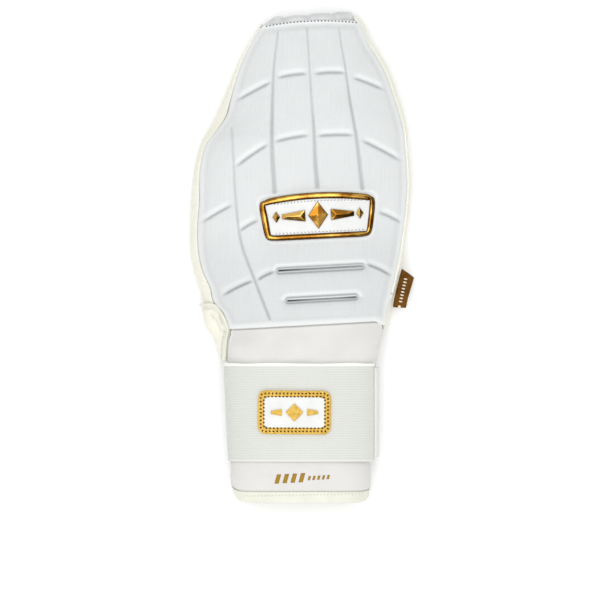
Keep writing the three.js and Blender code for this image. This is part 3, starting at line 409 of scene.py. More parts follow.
def column(rows, name, at):
    """A table's column read at shares along it, through a smooth curve."""
    places = rows["at"]
    values = rows[name]
    last = len(places) - 1
    at = np.asarray(at, float)
    i = np.clip(np.searchsorted(places, at) - 1, 0, last - 1)
    before = np.maximum(i - 1, 0)
    after = np.minimum(i + 2, last)
    span = places[i + 1] - places[i]
    slope = (values[i + 1] - values[before]) / (places[i + 1] - places[before]) * span
    slope_end = (values[after] - values[i]) / (places[after] - places[i]) * span
    f = np.clip((at - places[i]) / span, 0, 1)
    ff = f * f
    fff = ff * f
    start_part = (2 * fff - 3 * ff + 1) * values[i] + (fff - 2 * ff + f) * slope
    return start_part + (3 * ff - 2 * fff) * values[i + 1] + (fff - ff) * slope_end


def smooth(value):
    v = np.clip(value, 0, 1)
    return v * v * (3 - 2 * v)


def mix(low, high, share):
    return low + (high - low) * share


def hump(distance, width):
    """1 at no distance, falling softly to 0 over about two widths."""
    return np.exp(-((distance / width) ** 2))


# Places on the hand.


def hand_x(name, along):
    return column(HAND_ROWS, name, along) * HAND_HALF


def hand_y(along, x):
    left = hand_x("pad_left", 1)
    right = hand_x("pad_right", 1)
    share = (2 * x - left - right) / (right - left)
    arch = np.maximum(1 - share * share, -0.6) * along**6
    return WRIST_SEAM + HAND_LENGTH * along + HAND_LEAN * x + TIP_ARCH * arch


def hand_share(x, y):
    along = (y - WRIST_SEAM - HAND_LEAN * x) / HAND_LENGTH
    for _ in range(3):
        along = along + (y - hand_y(along, x)) / HAND_LENGTH
    return along


def across_share(x, along):
    left = hand_x("pad_left", along)
    right = hand_x("pad_right", along)
    return (2 * x - left - right) / (right - left)


def back_arch(share):
    return (1 - np.minimum(np.abs(share), 1) ** BACK_SHOULDER) ** BACK_FALL


def pad_base(x, along):
    edge = column(HEIGHT_ROWS, "edge", along) * HAND_DEPTH
    crown = column(HEIGHT_ROWS, "crown", along) * HAND_DEPTH - PAD_STEP
    return edge + (crown - edge) * back_arch(across_share(x, along))


def border_distance(x, along):
    sides = np.minimum(x - hand_x("pad_left", along), hand_x("pad_right", along) - x)
    return np.minimum(sides, np.minimum(along, 1 - along) * HAND_LENGTH)


def cushion_top(x, along):
    """The pad's surface before its cells and grooves."""
    distance = border_distance(x, along)
    raised = PAD_STEP * smooth((distance - PAD_MARGIN) / PAD_RAMP)
    worn = PAD_ROUND * (1 - smooth(0.5 + distance / PAD_ROUND / 2))
    return pad_base(x, along) + raised - worn


def pad_under(x, along):
    arch = back_arch(across_share(x, along))
    ends = smooth(np.minimum(along, 1 - along) * HAND_LENGTH / (4 * PAD_MARGIN))
    return pad_base(x, along) - PAD_EDGE - (PAD_THICK - PAD_EDGE - PAD_STEP) * arch * mix(0.25, 1, ends)


def pad_point(along, across):
    x = mix(hand_x("pad_left", along), hand_x("pad_right", along), (across + 1) / 2)
    return x, hand_y(along, x)


# Mesh helpers.


def link(name, mesh):
    piece = bpy.data.objects.new(name, mesh)
    bpy.context.scene.collection.objects.link(piece)
    return piece


def points_of(mesh):
    flat = np.zeros(len(mesh.vertices) * 3)
    mesh.vertices.foreach_get("co", flat)
    return flat.reshape(-1, 3)


def put_points(mesh, points):
    mesh.vertices.foreach_set("co", np.ascontiguousarray(points, float).ravel())
    mesh.update()


def smooth_shade(mesh):
    mesh.polygons.foreach_set("use_smooth", np.ones(len(mesh.polygons), bool))
    mesh.update()


def face_out(mesh, centre_mm):
    """Turns every face away from a line along +Y through a centre, if most look inwards."""
    outward = 0.0
    for face in mesh.polygons:
        away = face.center - Vector((centre_mm[0] * MM, face.center.y, centre_mm[1] * MM))
        outward += face.normal.dot(away) * face.area
    if outward < 0:
        mesh.flip_normals()


@contextmanager
def worked(mesh):
    """A mesh as a bmesh, put back when the work on it is done."""
    bm = bmesh.new()
    bm.from_mesh(mesh)
    yield bm
    bm.to_mesh(mesh)
    bm.free()


def laid(name, across, along, place, loop=False, centre=None):
    """A piece made of a grid whose points are placed by their shares u and v, from 0 to 1."""
    mesh = bpy.data.meshes.new(name)
    with worked(mesh) as bm:
        bm.loops.layers.uv.new("lay")
        bmesh.ops.create_grid(bm, x_segments=across, y_segments=along, size=0.5, calc_uvs=True)
    flat = points_of(mesh)
    put_points(mesh, np.stack(place(flat[:, 0] + 0.5, flat[:, 1] + 0.5), axis=1) * MM)
    if loop:
        with worked(mesh) as bm:
            bmesh.ops.remove_doubles(bm, verts=bm.verts, dist=WELD)
    if centre is not None:
        face_out(mesh, centre)
    smooth_shade(mesh)
    return link(name, mesh)


def finer_copy(node, name, sharp=None):
    """A merged copy of a node's mesh in quads, smoothed by subdivision."""
    mesh = nodes[node].data.copy()
    mesh.materials.clear()
    with worked(mesh) as bm:
        bmesh.ops.remove_doubles(bm, verts=bm.verts, dist=WELD)
        bmesh.ops.join_triangles(
            bm,
            faces=bm.faces,
            angle_face_threshold=math.radians(60),
            angle_shape_threshold=math.radians(60),
        )
        if sharp is not None:
            crease = bm.edges.layers.float.new("crease_edge")
            for edge in bm.edges:
                if len(edge.link_faces) == 2 and edge.calc_face_angle() > math.radians(25):
                    edge[crease] = sharp
    smooth_shade(mesh)
    mesh.name = name
    piece = link(name, mesh)
    modifier = piece.modifiers.new("finer", "SUBSURF")
    modifier.levels = 2
    modifier.render_levels = 2
    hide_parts(node)
    return piece


def wall(piece, thickness):
    modifier = piece.modifiers.new("wall", "SOLIDIFY")
    modifier.thickness = thickness * MM
    modifier.offset = -1
    modifier.use_even_offset = False


def settle(piece):
    """Keeps what the modifiers made as the piece's own mesh."""
    bpy.context.view_layer.update()
    graph = bpy.context.evaluated_depsgraph_get()
    made = bpy.data.meshes.new_from_object(piece.evaluated_get(graph))
    piece.modifiers.clear()
    piece.data = made


def attribute(mesh, name, values):
    layer = mesh.attributes.new(name, "FLOAT", "POINT")
    layer.data.foreach_set("value", np.asarray(values, np.float32))


def finish(piece, material):
    piece.data.materials.clear()
    piece.data.materials.append(material)
    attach(piece, "root")
    return piece


# Shader maths: a wire is one value, colour or vector that runs through a finish's nodes.


class Wire:
    def __init__(self, recipe, socket):
        self.recipe = recipe
        self.socket = socket

    def __add__(self, other):
        return self.recipe.maths("ADD", self, other)

    def __mul__(self, other):
        return self.recipe.maths("MULTIPLY", self, other)

    def __abs__(self):
        return self.recipe.maths("ABSOLUTE", self)

    def wave(self, pitch):
        """A sine with one wave for each pitch."""
        return self.recipe.maths("SINE", self * (2 * math.pi / pitch))

    def between(self, low, high):
        """A range's value at this share."""
        return self * (high - low) + low

    def over(self, edge, soft):
        """0 below an edge and 1 above it, with a soft step."""
        settings = {"interpolation_type": "SMOOTHSTEP"}
        inputs = {"Value": self, "From Min": edge - soft, "From Max": edge + soft}
        return self.recipe.made("ShaderNodeMapRange", settings, inputs)


class Recipe:
    """The nodes of one finish, which end in its Principled shader."""

    def __init__(self, name, **fixed):
        self.material = bpy.data.materials.new(name)
        self.material.use_nodes = True
        self.tree = self.material.node_tree
        self.shader = self.tree.nodes["Principled BSDF"]
        for words, value in fixed.items():
            self.set(words, value)

    def set(self, words, value):
        self.plug(self.shader.inputs[words.replace("_", " ")], value)

    def plug(self, socket, value):
        if isinstance(value, Wire):
            self.tree.links.new(value.socket, socket)
        elif isinstance(value, tuple) and len(value) == 3 and socket.type == "RGBA":
            socket.default_value = (*value, 1)
        else:
            socket.default_value = value

    def node(self, kind, settings, inputs):
        made = self.tree.nodes.new(kind)
        for name, value in settings.items():
            setattr(made, name, value)
        for name, value in inputs.items():
            self.plug(made.inputs[name], value)
        return made

    def made(self, kind, settings, inputs, output=0):
        """The wire out of a new node."""
        return Wire(self, self.node(kind, settings, inputs).outputs[output])

    def maths(self, operation, *values):
        return self.made("ShaderNodeMath", {"operation": operation}, dict(enumerate(values)))

    def place(self):
        """The point's place on the piece, in metres."""
        return self.made("ShaderNodeTexCoord", {}, {}, "Object")

    def lay(self):
        """The piece's own map, along its width and length."""
        return self.made("ShaderNodeUVMap", {"uv_map": "lay"}, {})

    def parts(self, vector):
        split = self.node("ShaderNodeSeparateXYZ", {}, {"Vector": vector})
        return [Wire(self, socket) for socket in split.outputs]

    def stretched(self, vector, scale):
        return self.made("ShaderNodeMapping", {}, {"Vector": vector, "Scale": scale})

    def marked(self, name):
        """A mesh's own mark, from 0 to 1, and 0 on a mesh without it."""
        settings = {"attribute_type": "GEOMETRY", "attribute_name": name}
        return self.made("ShaderNodeAttribute", settings, {}, "Fac")

    def noise(self, vector, size, detail=2.0):
        inputs = {"Vector": vector, "Scale": 1 / size, "Detail": detail}
        return self.made("ShaderNodeTexNoise", {}, inputs)

    def pebbles(self, vector, size):
        """Distance from the borders of small irregular cells."""
        inputs = {"Vector": vector, "Scale": 1 / size}
        return self.made("ShaderNodeTexVoronoi", {"feature": "DISTANCE_TO_EDGE"}, inputs, "Distance")

    def blend(self, share, first, second):
        """A colour between two colours."""
        return self.made("ShaderNodeMix", {"data_type": "RGBA"}, {0: share, 6: first, 7: second}, 2)

    def bump(self, height, distance, strength=1.0):
        inputs = {"Height": height, "Distance": distance, "Strength": strength}
        return self.made("ShaderNodeBump", {}, inputs)

    def end(self, **varying):
        for words, value in varying.items():
            self.set(words, value)
        return self.material


def knit_finish():
    """Fine ribbed knit over moulded foam: wales run along the hand; grooves, slots and the part near the
    wrist get painted shade, and ridges, slot bands, the badge lip and the borders a painted highlight.
    """
    cloth = Recipe("pad_knit", Roughness=0.86, Sheen_Weight=0.25, Sheen_Roughness=0.5)
    place = cloth.place()
    x, y, _ = cloth.parts(place)
    drift = cloth.noise(place, 0.02) * 0.0006
    wale = (x + drift).wave(0.0009)
    loops = (y + abs(wale) * 0.0002).wave(0.0011)
    yarn = wale * 0.7 + loops * 0.3
    streak = cloth.noise(cloth.stretched(place, (1, 0.06, 1)), 0.0012, 3)
    cloud = cloth.noise(place, 0.018, 3)
    tone = (streak * 0.55 + cloud * 0.45).over(0.5, 0.28)
    plain = cloth.blend(tone, *KNIT_TONES)
    woven = cloth.blend(yarn.over(-0.35, 0.6), KNIT_BETWEEN, plain)
    # painted highlight first, then painted shade over it
    highlighted = cloth.blend(cloth.marked("bright"), woven, KNIT_PAINTED_HIGHLIGHT)
    colour = cloth.blend(cloth.marked("painted_shade"), highlighted, KNIT_PAINTED_SHADE)
    grain = cloth.noise(place, 0.0006, 3)
    normal = cloth.bump(yarn * 0.5 + grain * 0.8, 0.00018, 0.55)
    return cloth.end(Base_Color=colour, Normal=normal)


def tip_finish():
    cloth = Recipe("tip_cloth", Roughness=0.85, Sheen_Weight=0.3)
    place = cloth.place()
    cloud = cloth.noise(place, 0.006, 4)
    fine = cloth.noise(place, 0.0007, 3)
    colour = cloth.blend(cloud.over(0.5, 0.25), *TIP_TONES)
    normal = cloth.bump(fine * 0.7 + cloud * 0.3, 0.0004, 0.6)
    return cloth.end(Base_Color=colour, Normal=normal)


def leather_finish():
    """Ivory leather: a fine pebbled grain with slightly yellower hollows, painted shade in soft creases,
    and a darker line of sewing.
    """
    hide = Recipe("ivory_leather", Roughness=0.5, Specular_IOR_Level=0.45)
    place = hide.place()
    warp = hide.noise(place, 0.004, 3)
    grain = hide.pebbles(place, 0.0013).over(0.06, 0.06)
    fine = hide.noise(place, 0.0005, 3)
    cloud = hide.noise(place, 0.022, 3).over(0.5, 0.22)
    worn = hide.blend(grain, LEATHER_PORES, hide.blend(cloud, *LEATHER_TONES))
    # painted shade in the heel's fold, and the darker line of sewing
    colour = hide.blend(hide.marked("crease"), worn, LEATHER_FOLD_SHADE)
    normal = hide.bump(grain * 0.5 + fine * 0.35 + warp * 0.4, 0.0002, 0.5)
    return hide.end(Base_Color=colour, Roughness=cloud.between(0.44, 0.56), Normal=normal)


def binding_finish():
    tape = Recipe("binding_tape", Roughness=0.62, Sheen_Weight=0.15)
    place = tape.place()
    fine = tape.noise(place, 0.0006, 3)
    cloud = tape.noise(place, 0.01, 2).over(0.5, 0.3)
    return tape.end(Base_Color=tape.blend(cloud, *BINDING_TONES), Normal=tape.bump(fine, 0.0003, 0.5))


def neoprene_finish():
    """Smooth jersey over rubber foam, with a faint close knit."""
    jersey = Recipe("neoprene_jersey", Roughness=0.78, Sheen_Weight=0.2)
    place = jersey.place()
    x, y, _ = jersey.parts(place)
    knit = x.wave(0.0006) * y.wave(0.0007)
    cloud = jersey.noise(place, 0.02, 3).over(0.5, 0.3)
    fine = jersey.noise(place, 0.0008, 3)
    normal = jersey.bump(knit * 0.4 + fine * 0.6, 0.0001, 0.45)
    return jersey.end(Base_Color=jersey.blend(cloud, *JERSEY_TONES), Normal=normal)


def elastic_finish():
    """Woven elastic: cross ribs in the mesh with painted shade between them, warp threads in the finish, a
    whiter folded edge.
    """
    web = Recipe("ribbed_elastic", Roughness=0.8, Sheen_Weight=0.2)
    place = web.place()
    warp = web.parts(web.lay())[0].wave(1 / 300)
    cloud = web.noise(place, 0.012, 3).over(0.5, 0.3)
    plain = web.blend(cloud, *ELASTIC_TONES)
    threads = web.blend(warp.over(-0.3, 0.7), ELASTIC_BETWEEN, plain)
    # painted shade in the troughs between the ribs
    ribs = web.blend(web.marked("rib") * 0.6, ELASTIC_RIB_SHADE, threads)
    colour = web.blend(web.marked("fold"), ribs, ELASTIC_FOLD)
    normal = web.bump(warp * 0.5 + web.noise(place, 0.0005, 2) * 0.5, 0.00015, 0.5)
    return web.end(Base_Color=colour, Normal=normal)


def badge_finish():
    plate = Recipe("badge_white", Roughness=0.55)
    place = plate.place()
    cloud = plate.noise(place, 0.008, 2).over(0.5, 0.3)
    normal = plate.bump(plate.pebbles(place, 0.0009), 0.00015, 0.6)
    return plate.end(Base_Color=plate.blend(cloud, *BADGE_TONES), Normal=normal)


def gilt_finish(name, tones):
    """Polished gilt: painted reflections as soft bright and brown bands, and a painted dark reflection
    that makes steep flanks nearly black.
    """
    gilt = Recipe(name, Metallic=1.0, Roughness=0.16, Specular_Tint=GILT_TINT)
    place = gilt.place()
    # the bands and the dark flanks are painted reflections
    reflection_bands = gilt.noise(gilt.stretched(place, (0.6, 1, 1)), 0.009, 1)
    ripple = gilt.noise(place, 0.0035, 2)
    bright = gilt.blend((reflection_bands * 0.75 + ripple * 0.25).over(0.5, 0.14), *tones)
    colour = gilt.blend(gilt.marked("steep"), bright, GILT_DARK_REFLECTION)
    normal = gilt.bump(ripple, 0.0004, 0.35)
    return gilt.end(Base_Color=colour, Roughness=ripple.between(0.12, 0.24), Normal=normal)


def mark_steep(piece, level=0.82, soft=0.3):
    """Keeps how steeply a finished mesh stands at each point, from 0 to 1, which the gilt finish turns
    into a painted dark reflection.
    """
    settle(piece)
    mesh = piece.data
    normals = np.zeros(len(mesh.vertices) * 3)
    mesh.vertices.foreach_get("normal", normals)
    attribute(mesh, "steep", smooth((level - normals.reshape(-1, 3)[:, 2]) / soft))
    return piece


def gilt_thread_finish():
    thread = Recipe("gilt_thread", Metallic=0.35, Roughness=0.5, Specular_IOR_Level=0.25)
    place = thread.place()
    x, y, _ = thread.parts(place)
    strands = (x + y).wave(0.0006)
    cloud = thread.noise(place, 0.002, 3)
    colour = thread.blend((strands * 0.25 + cloud).over(0.5, 0.35), *GILT_THREAD_TONES)
    normal = thread.bump(strands * 0.5 + cloud * 0.5, 0.00025, 0.6)
    return thread.end(Base_Color=colour, Normal=normal)


def tab_finish():
    """Dense brown tape with a close weave."""
    tape = Recipe("tab_weave", Roughness=0.9, Specular_IOR_Level=0.12)
    place = tape.place()
    x, y, _ = tape.parts(place)
    weave = x.wave(0.0006) * y.wave(0.0006)
    cloud = tape.noise(place, 0.004, 2)
    colour = tape.blend((weave * 0.3 + cloud).over(0.5, 0.4), *TAB_TONES)
    return tape.end(Base_Color=colour, Normal=tape.bump(weave, 0.0002, 0.6))


# a finish for small marks: thread, ink, and the painted shade of needle holes
def small_mark_finish(name, tones):
    small_mark = Recipe(name, Roughness=0.6, Specular_IOR_Level=0.15)
    cloud = small_mark.noise(small_mark.place(), 0.0006, 2)
    colour = small_mark.blend(cloud.over(0.5, 0.3), *tones)
    return small_mark.end(Base_Color=colour, Normal=small_mark.bump(cloud, 0.0001, 0.5))


# Pad.


def through(rows, count):
    """A smooth path through places on the pad, in mm."""
    x, y = pad_point(rows["along"], rows["across"])
    path = {"at": np.linspace(0, 1, len(x)), "x": x, "y": y}
    shares = np.linspace(0, 1, count + 1)
    return np.stack([column(path, "x", shares), column(path, "y", shares)], axis=1)


def cross_path(i):
    groove = row(CROSS_GROOVES, i)
    ends_along = (groove["along"], groove["along_end"])
    ends_across = (groove["across"], groove["across_end"])
    middle_along = sum(ends_along) / 2 + groove["bow"]
    rows = {
        "along": np.array([ends_along[0], middle_along, ends_along[1]]),
        "across": np.array([ends_across[0], sum(ends_across) / 2, ends_across[1]]),
    }
    return through(rows, 10)


def slot_path(i):
    slot = row(FLEX_SLOTS, i)
    across = np.linspace(slot["left"], slot["right"], 9)
    return np.stack(pad_point(np.full(9, slot["along"]), across), axis=1)


def nearest_on(path, x, y):
    """Distances of points from a path, and the path's share where each is nearest."""
    best = np.full(x.shape, 1e9)
    share = np.zeros(x.shape)
    last = len(path) - 1
    for i in range(last):
        (ax, ay), (bx, by) = path[i], path[i + 1]
        dx, dy = bx - ax, by - ay
        t = np.clip(((x - ax) * dx + (y - ay) * dy) / (dx * dx + dy * dy), 0, 1)
        distance = np.hypot(x - ax - t * dx, y - ay - t * dy)
        closer = distance < best
        share = np.where(closer, (i + t) / last, share)
        best = np.where(closer, distance, best)
    return best, share


def badge_turned(along, across, turn):
    turn_cos, turn_sin = math.cos(turn), math.sin(turn)
    return along * turn_cos - across * turn_sin, across * turn_cos + along * turn_sin


def badge_frame(x, y):
    """A point's place along and across the badge on the back of the hand."""
    return badge_turned(x - BADGE_ACROSS, y - hand_y(BADGE_ALONG, BADGE_ACROSS), -BADGE_TURN)


def badge_place(along, across):
    """The reverse of badge_frame."""
    x, y = badge_turned(along, across, BADGE_TURN)
    return BADGE_ACROSS + x, hand_y(BADGE_ALONG, BADGE_ACROSS) + y


def badge_top(along):
    return BADGE_CREST - BADGE_CREST_FALL * (along / (BADGE_WIDTH / 2)) ** 2


def beside_badge(x, y):
    """Distance out of the badge's outline, less than 0 inside it."""
    along, across = badge_frame(x, y)
    half = mix(0.92, 1.0, (across + BADGE_HEIGHT / 3) / (BADGE_HEIGHT * 0.56)) * BADGE_WIDTH / 2
    ends = np.abs(along) - half + BADGE_ROUND
    rims = np.maximum(across - badge_top(along), -BADGE_HEIGHT / 2 - across) + BADGE_ROUND
    return np.hypot(np.maximum(ends, 0), np.maximum(rims, 0)) - BADGE_ROUND


class Relief:
    """What the grooves and slots do to points of the pad: sink, lift, painted shade, painted highlight and
    reach in mm.
    """

    def __init__(self, x, y, along):
        self.x, self.y = x, y
        self.sink = np.zeros(x.shape)
        self.lift = np.zeros(x.shape)
        self.painted_shade = np.zeros(x.shape)
        self.bright = np.zeros(x.shape)
        self.slit = np.zeros(x.shape)
        self.reach = border_distance(x, along) - PAD_MARGIN
        for i, rows in enumerate(LONG_GROOVES):
            self.add_long(through(rows, 24), row(LONG_FORMS, i))
        for i in range(len(CROSS_GROOVES["along"])):
            self.add_cross(cross_path(i))
        for i in range(len(FLEX_SLOTS["along"])):
            self.add_slot(slot_path(i), row(FLEX_SLOTS, i))
        beside = np.maximum(beside_badge(x, y), 0)
        self.reach = np.minimum(self.reach, beside - 1)
        self.lift += BADGE_LIP * hump(beside - 1, BADGE_LIP_WIDTH)
        # painted highlight on the lip round the badge
        self.brighten(BADGE_LIP_HIGHLIGHT * hump(beside - 0.8, BADGE_LIP_WIDTH))
        # painted shade near the wrist
        self.painted_shade += LOW_PAINTED_SHADE * (1 - smooth((along - 0.2) / 0.15))

    def deepen(self, sink, painted_shade, distance):
        self.sink = np.maximum(self.sink, sink)
        self.painted_shade = np.maximum(self.painted_shade, painted_shade)
        self.reach = np.minimum(self.reach, distance)

    def brighten(self, bright):
        self.bright = np.maximum(self.bright, bright)

    def add_long(self, path, form):
        distance, share = nearest_on(path, self.x, self.y)
        full = mix(0.5, 1, smooth(share / 0.6))
        core = np.exp(-((distance / mix(form["start"], form["end"], share**1.5)) ** 3))
        spread = (1 - LONG_CORE) * np.exp(-distance / LONG_SPREAD)
        sink = form["depth"] * full * (LONG_CORE * core + spread)
        # painted shade along the groove's core
        self.deepen(sink, LONG_PAINTED_SHADE * full * core, distance)

    def add_cross(self, path):
        distance, share = nearest_on(path, self.x, self.y)
        above = self.y > np.interp(self.x, path[:, 0], path[:, 1])
        full = smooth(np.minimum(share, 1 - share) / CROSS_TAPER + 0.2)
        soft = np.exp(-((distance / CROSS_SOFT) ** 1.5))
        shape = np.where(above, soft, hump(distance, CROSS_SHARP))
        # painted shade in the cross groove
        painted_shade = CROSS_PAINTED_SHADE * full * hump(distance, CROSS_PAINTED_SHADE_WIDTH)
        self.deepen(CROSS_DEPTH * full * shape, painted_shade, distance)
        ridge = full * above * hump(distance - CROSS_RIDGE_AT, CROSS_RIDGE_WIDTH)
        self.lift += CROSS_RIDGE * ridge
        # painted highlight on the ridge
        self.brighten(CROSS_RIDGE_HIGHLIGHT * ridge)

    def add_slot(self, path, slot):
        distance, share = nearest_on(path, self.x, self.y)
        rise = self.y - np.interp(self.x, path[:, 0], path[:, 1])
        below = smooth(0.5 - rise)
        outside = distance - SLOT_HALF
        outline = hump(outside, 0.5)
        beside_slit = SLIT_HALF + 0.3 - np.abs(rise - slot["slit"])
        deep = smooth(beside_slit / 0.5) * smooth((1.1 - distance) / 0.5)
        ends = [slot["left_dark"], slot["middle_dark"], slot["middle_dark"], slot["right_dark"]]
        dark = np.interp(share, (0.0, 0.35, 0.75, 1.0), ends)
        # painted shade: the slot's outline, a painted shadow on its wrist side and the dark slit
        shade = SLOT_SHADE * below * np.exp(-np.maximum(outside, 0) / 1.8)
        painted_shade = np.maximum(outline * mix(0.28, 0.42, below), np.maximum(shade, deep * dark))
        self.deepen(SLOT_OUTLINE * outline, painted_shade, np.maximum(outside - 1, 0))
        self.slit = np.maximum(self.slit, deep * mix(0.35, 1, dark))
        band = hump(rise - slot["band"], 0.4) * smooth((-0.2 - outside) / 0.6)
        brow = (1 - below) * hump(outside - 2.2, 1.5)
        self.lift += BAND_HEIGHT * band + BROW_HEIGHT * brow
        # painted highlight on the band and the brow
        self.brighten(np.maximum(band, 0.8 * brow))

    def height(self, puff):
        return puff - 0.2 + self.lift - self.sink - SLOT_DEPTH * self.slit


def cell_puff(reach):
    return CELL_PUFF * (1 - np.exp(-np.maximum(reach, 0) / CELL_REACH))


def swell(mesh, held, cap):
    """Blows a mesh up as cloth, with its held points fixed, and gives where its points come to lie."""
    piece = link("swelling", mesh.copy())
    group = piece.vertex_groups.new(name="held")
    group.add([int(i) for i in np.flatnonzero(held)], 1.0, "REPLACE")
    cloth = piece.modifiers.new("cloth", "CLOTH")
    cloth.settings.vertex_group_mass = "held"
    cloth.settings.use_pressure = True
    cloth.settings.uniform_pressure_force = SWELL_PRESSURE
    cloth.settings.effector_weights.gravity = 0
    cloth.point_cache.frame_start = 1
    cloth.point_cache.frame_end = SWELL_FRAMES
    scene = bpy.context.scene
    for number in range(1, SWELL_FRAMES + 1):
        scene.frame_set(number)
    graph = bpy.context.evaluated_depsgraph_get()
    blown = bpy.data.meshes.new_from_object(piece.evaluated_get(graph))
    start = points_of(mesh)
    moved = points_of(blown) - start
    length = np.linalg.norm(moved, axis=1, keepdims=True)
    bpy.data.objects.remove(piece)
    bpy.data.meshes.remove(blown)
    scene.frame_set(1)
    return start + moved * np.minimum(1, cap * MM / np.maximum(length, 1e-9))


def simulated_puff():
    """Crowns of the pad's cells at shares across and along it, blown up between the sewn lines."""
    mesh = bpy.data.meshes.new("pad_cover")
    with worked(mesh) as bm:
        bmesh.ops.create_grid(bm, x_segments=SWELL_COLUMNS, y_segments=SWELL_ROWS, size=0.5)
    flat = points_of(mesh)
    along = flat[:, 1] + 0.5
    x, y = pad_point(along, 2 * flat[:, 0])
    relief = Relief(x, y, along)
    put_points(mesh, np.stack([x, y, cushion_top(x, along)], axis=1) * MM)
    blown = swell(mesh, relief.reach < SEWN_REACH, 2 * CELL_PUFF)
    rise = (blown - points_of(mesh))[:, 2] / MM
    order = np.lexsort((flat[:, 0], flat[:, 1]))
    return rise[order].reshape(SWELL_ROWS + 1, SWELL_COLUMNS + 1)


def read_grid(grid, u, v):
    """Values of a grid at shares across and along it, with straight lines between."""
    rows, columns = grid.shape
    a = np.clip(u, 0, 1) * (columns - 1)
    b = np.clip(v, 0, 1) * (rows - 1)
    i = np.minimum(a.astype(int), columns - 2)
    j = np.minimum(b.astype(int), rows - 2)
    low = mix(grid[j, i], grid[j, i + 1], a - i)
    high = mix(grid[j + 1, i], grid[j + 1, i + 1], a - i)
    return mix(low, high, b - j)


def border_bright(along, distance):
    """The pad's brighter borders at its wrist end, its tip and its sides: paler knit with a painted
    highlight on it.
    """
    wrist = WRIST_BRIGHT * (1 - smooth((along * HAND_LENGTH - 2.4) / 2))
    tip = TIP_BRIGHT * (1 - smooth(((1 - along) * HAND_LENGTH - 1.4) / 1.4))
    side = SIDE_BRIGHT * (1 - smooth((distance - 1.6) / 2))
    return np.maximum(np.maximum(wrist, tip), side)


def make_pad(knit):
    mesh = bpy.data.meshes.new("back_pad_knit")
    with worked(mesh) as bm:
        bmesh.ops.create_grid(bm, x_segments=46, y_segments=84, size=1)
        raised = bmesh.ops.extrude_face_region(bm, geom=bm.faces[:])["geom"]
        top = [part for part in raised if isinstance(part, bmesh.types.BMVert)]
        bmesh.ops.translate(bm, verts=top, vec=(0, 0, 1))
        edges = [edge for edge in bm.edges if min(vert.co.z for vert in edge.verts) > 0.5]
        bmesh.ops.subdivide_edges(bm, edges=edges, cuts=3, use_grid_fill=True)
    across, flat_y, flat_z = points_of(mesh).T
    along = np.interp((flat_y + 1) / 2, PAD_ROW_SHARES, PAD_ROW_PLACES)
    x, y = pad_point(along, across)
    relief = Relief(x, y, along)
    puff = cell_puff(relief.reach)
    blown = read_grid(simulated_puff(), (across + 1) / 2, along)
    puff = (1 - CELL_BLOWN) * puff + CELL_BLOWN * blown
    distance = border_distance(x, along)
    inner = smooth(distance / PAD_MARGIN)
    above = cushion_top(x, along) + relief.height(puff) * inner
    is_top = flat_z > 0.5
    z = np.where(is_top, above, pad_under(x, along))
    x += PAD_OVERLAP * across**9 + TIP_CORNER * smooth((across - 0.5) / 0.5) * smooth((along - 0.9) / 0.1)
    y += PAD_OVERLAP * np.maximum(flat_y, 0) ** 40
    y -= WRIST_DROOP * smooth((across - 0.86) / 0.14) * smooth(1 - along / 0.07)
    put_points(mesh, np.stack([x, y, z], axis=1) * MM)
    # painted highlight and painted shade, only on the pad's upper side
    bright = np.maximum(relief.bright * inner, border_bright(along, distance))
    attribute(mesh, "painted_shade", np.where(is_top, relief.painted_shade * inner, 0))
    attribute(mesh, "bright", np.where(is_top, bright, 0))
    with worked(mesh) as bm:
        bmesh.ops.recalc_face_normals(bm, faces=bm.faces)
    smooth_shade(mesh)
    pad = link("back_pad_knit", mesh)
    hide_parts("back_pad")
    return finish(pad, knit)


# Palm, heel and binding.


def gusset_section(u, left, right, rim_height):
    """A section from left rim to right rim: left and right hold the rim's and the bulge's x."""
    s = 1 - np.abs(2 * u - 1)
    on_left = u < 0.5
    rim = np.where(on_left, left[0], right[0])
    bulge = np.where(on_left, left[1], right[1])
    outward = np.where(on_left, -1.0, 1.0)
    rise = np.clip(1 - s / SECTION_RIM, 0, 1)
    turn = np.clip((s - SECTION_RIM) / (SECTION_CORNER - SECTION_RIM), 0, 1) * math.pi / 2
    flat = np.clip((s - SECTION_CORNER) / (1 - SECTION_CORNER), 0, 1)
    corner_x = bulge - outward * PALM_CORNER * (1 - np.cos(turn))
    middle = (left[1] + PALM_CORNER + right[1] - PALM_CORNER) / 2
    x = np.where(rise > 0, bulge - (bulge - rim) * rise * rise, mix(corner_x, middle, flat))
    z = np.where(rise > 0, mix(WIDEST_HEIGHT, rim_height, rise), WIDEST_HEIGHT * (1 - np.sin(turn)))
    return x, z


def make_palm(leather):
    def place(u, v):
        along = mix(SEAM_AT, 1, v)
        clear = GAP + LEATHER
        left = (hand_x("pad_left", along) - clear, hand_x("out_left", along))
        right = (hand_x("pad_right", along) + clear, hand_x("out_right", along))
        rim_height = column(HEIGHT_ROWS, "edge", along) * HAND_DEPTH - 0.5 * RIM_DROP
        x, z = gusset_section(u, left, right, rim_height)
        # Its right corner at the tip laps forward over the finger cap's side.
        flap = smooth((v - 0.955) / 0.045) * smooth((u - 0.78) / 0.1)
        bulge = 7 * flap * (1 - flap) - 1.6 * flap * flap
        wide = mix(0.6 * flap, bulge, smooth((rim_height - z) / 5))
        return x + wide, hand_y(along, x) + 4.3 * flap, z + 1.1 * flap * smooth((z - 8) / 6)

    palm = laid("palm_leather", 150, 190, place, centre=(0, 14))
    wall(palm, LEATHER)
    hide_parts("palm_shell")
    return finish(palm, leather)


def heel_y(share, x):
    lean = mix(HAND_LEAN, HEEL_LEAN, share)
    return WRIST_SEAM + HAND_LENGTH * SEAM_AT - GAP - HEEL_LENGTH * share + lean * x


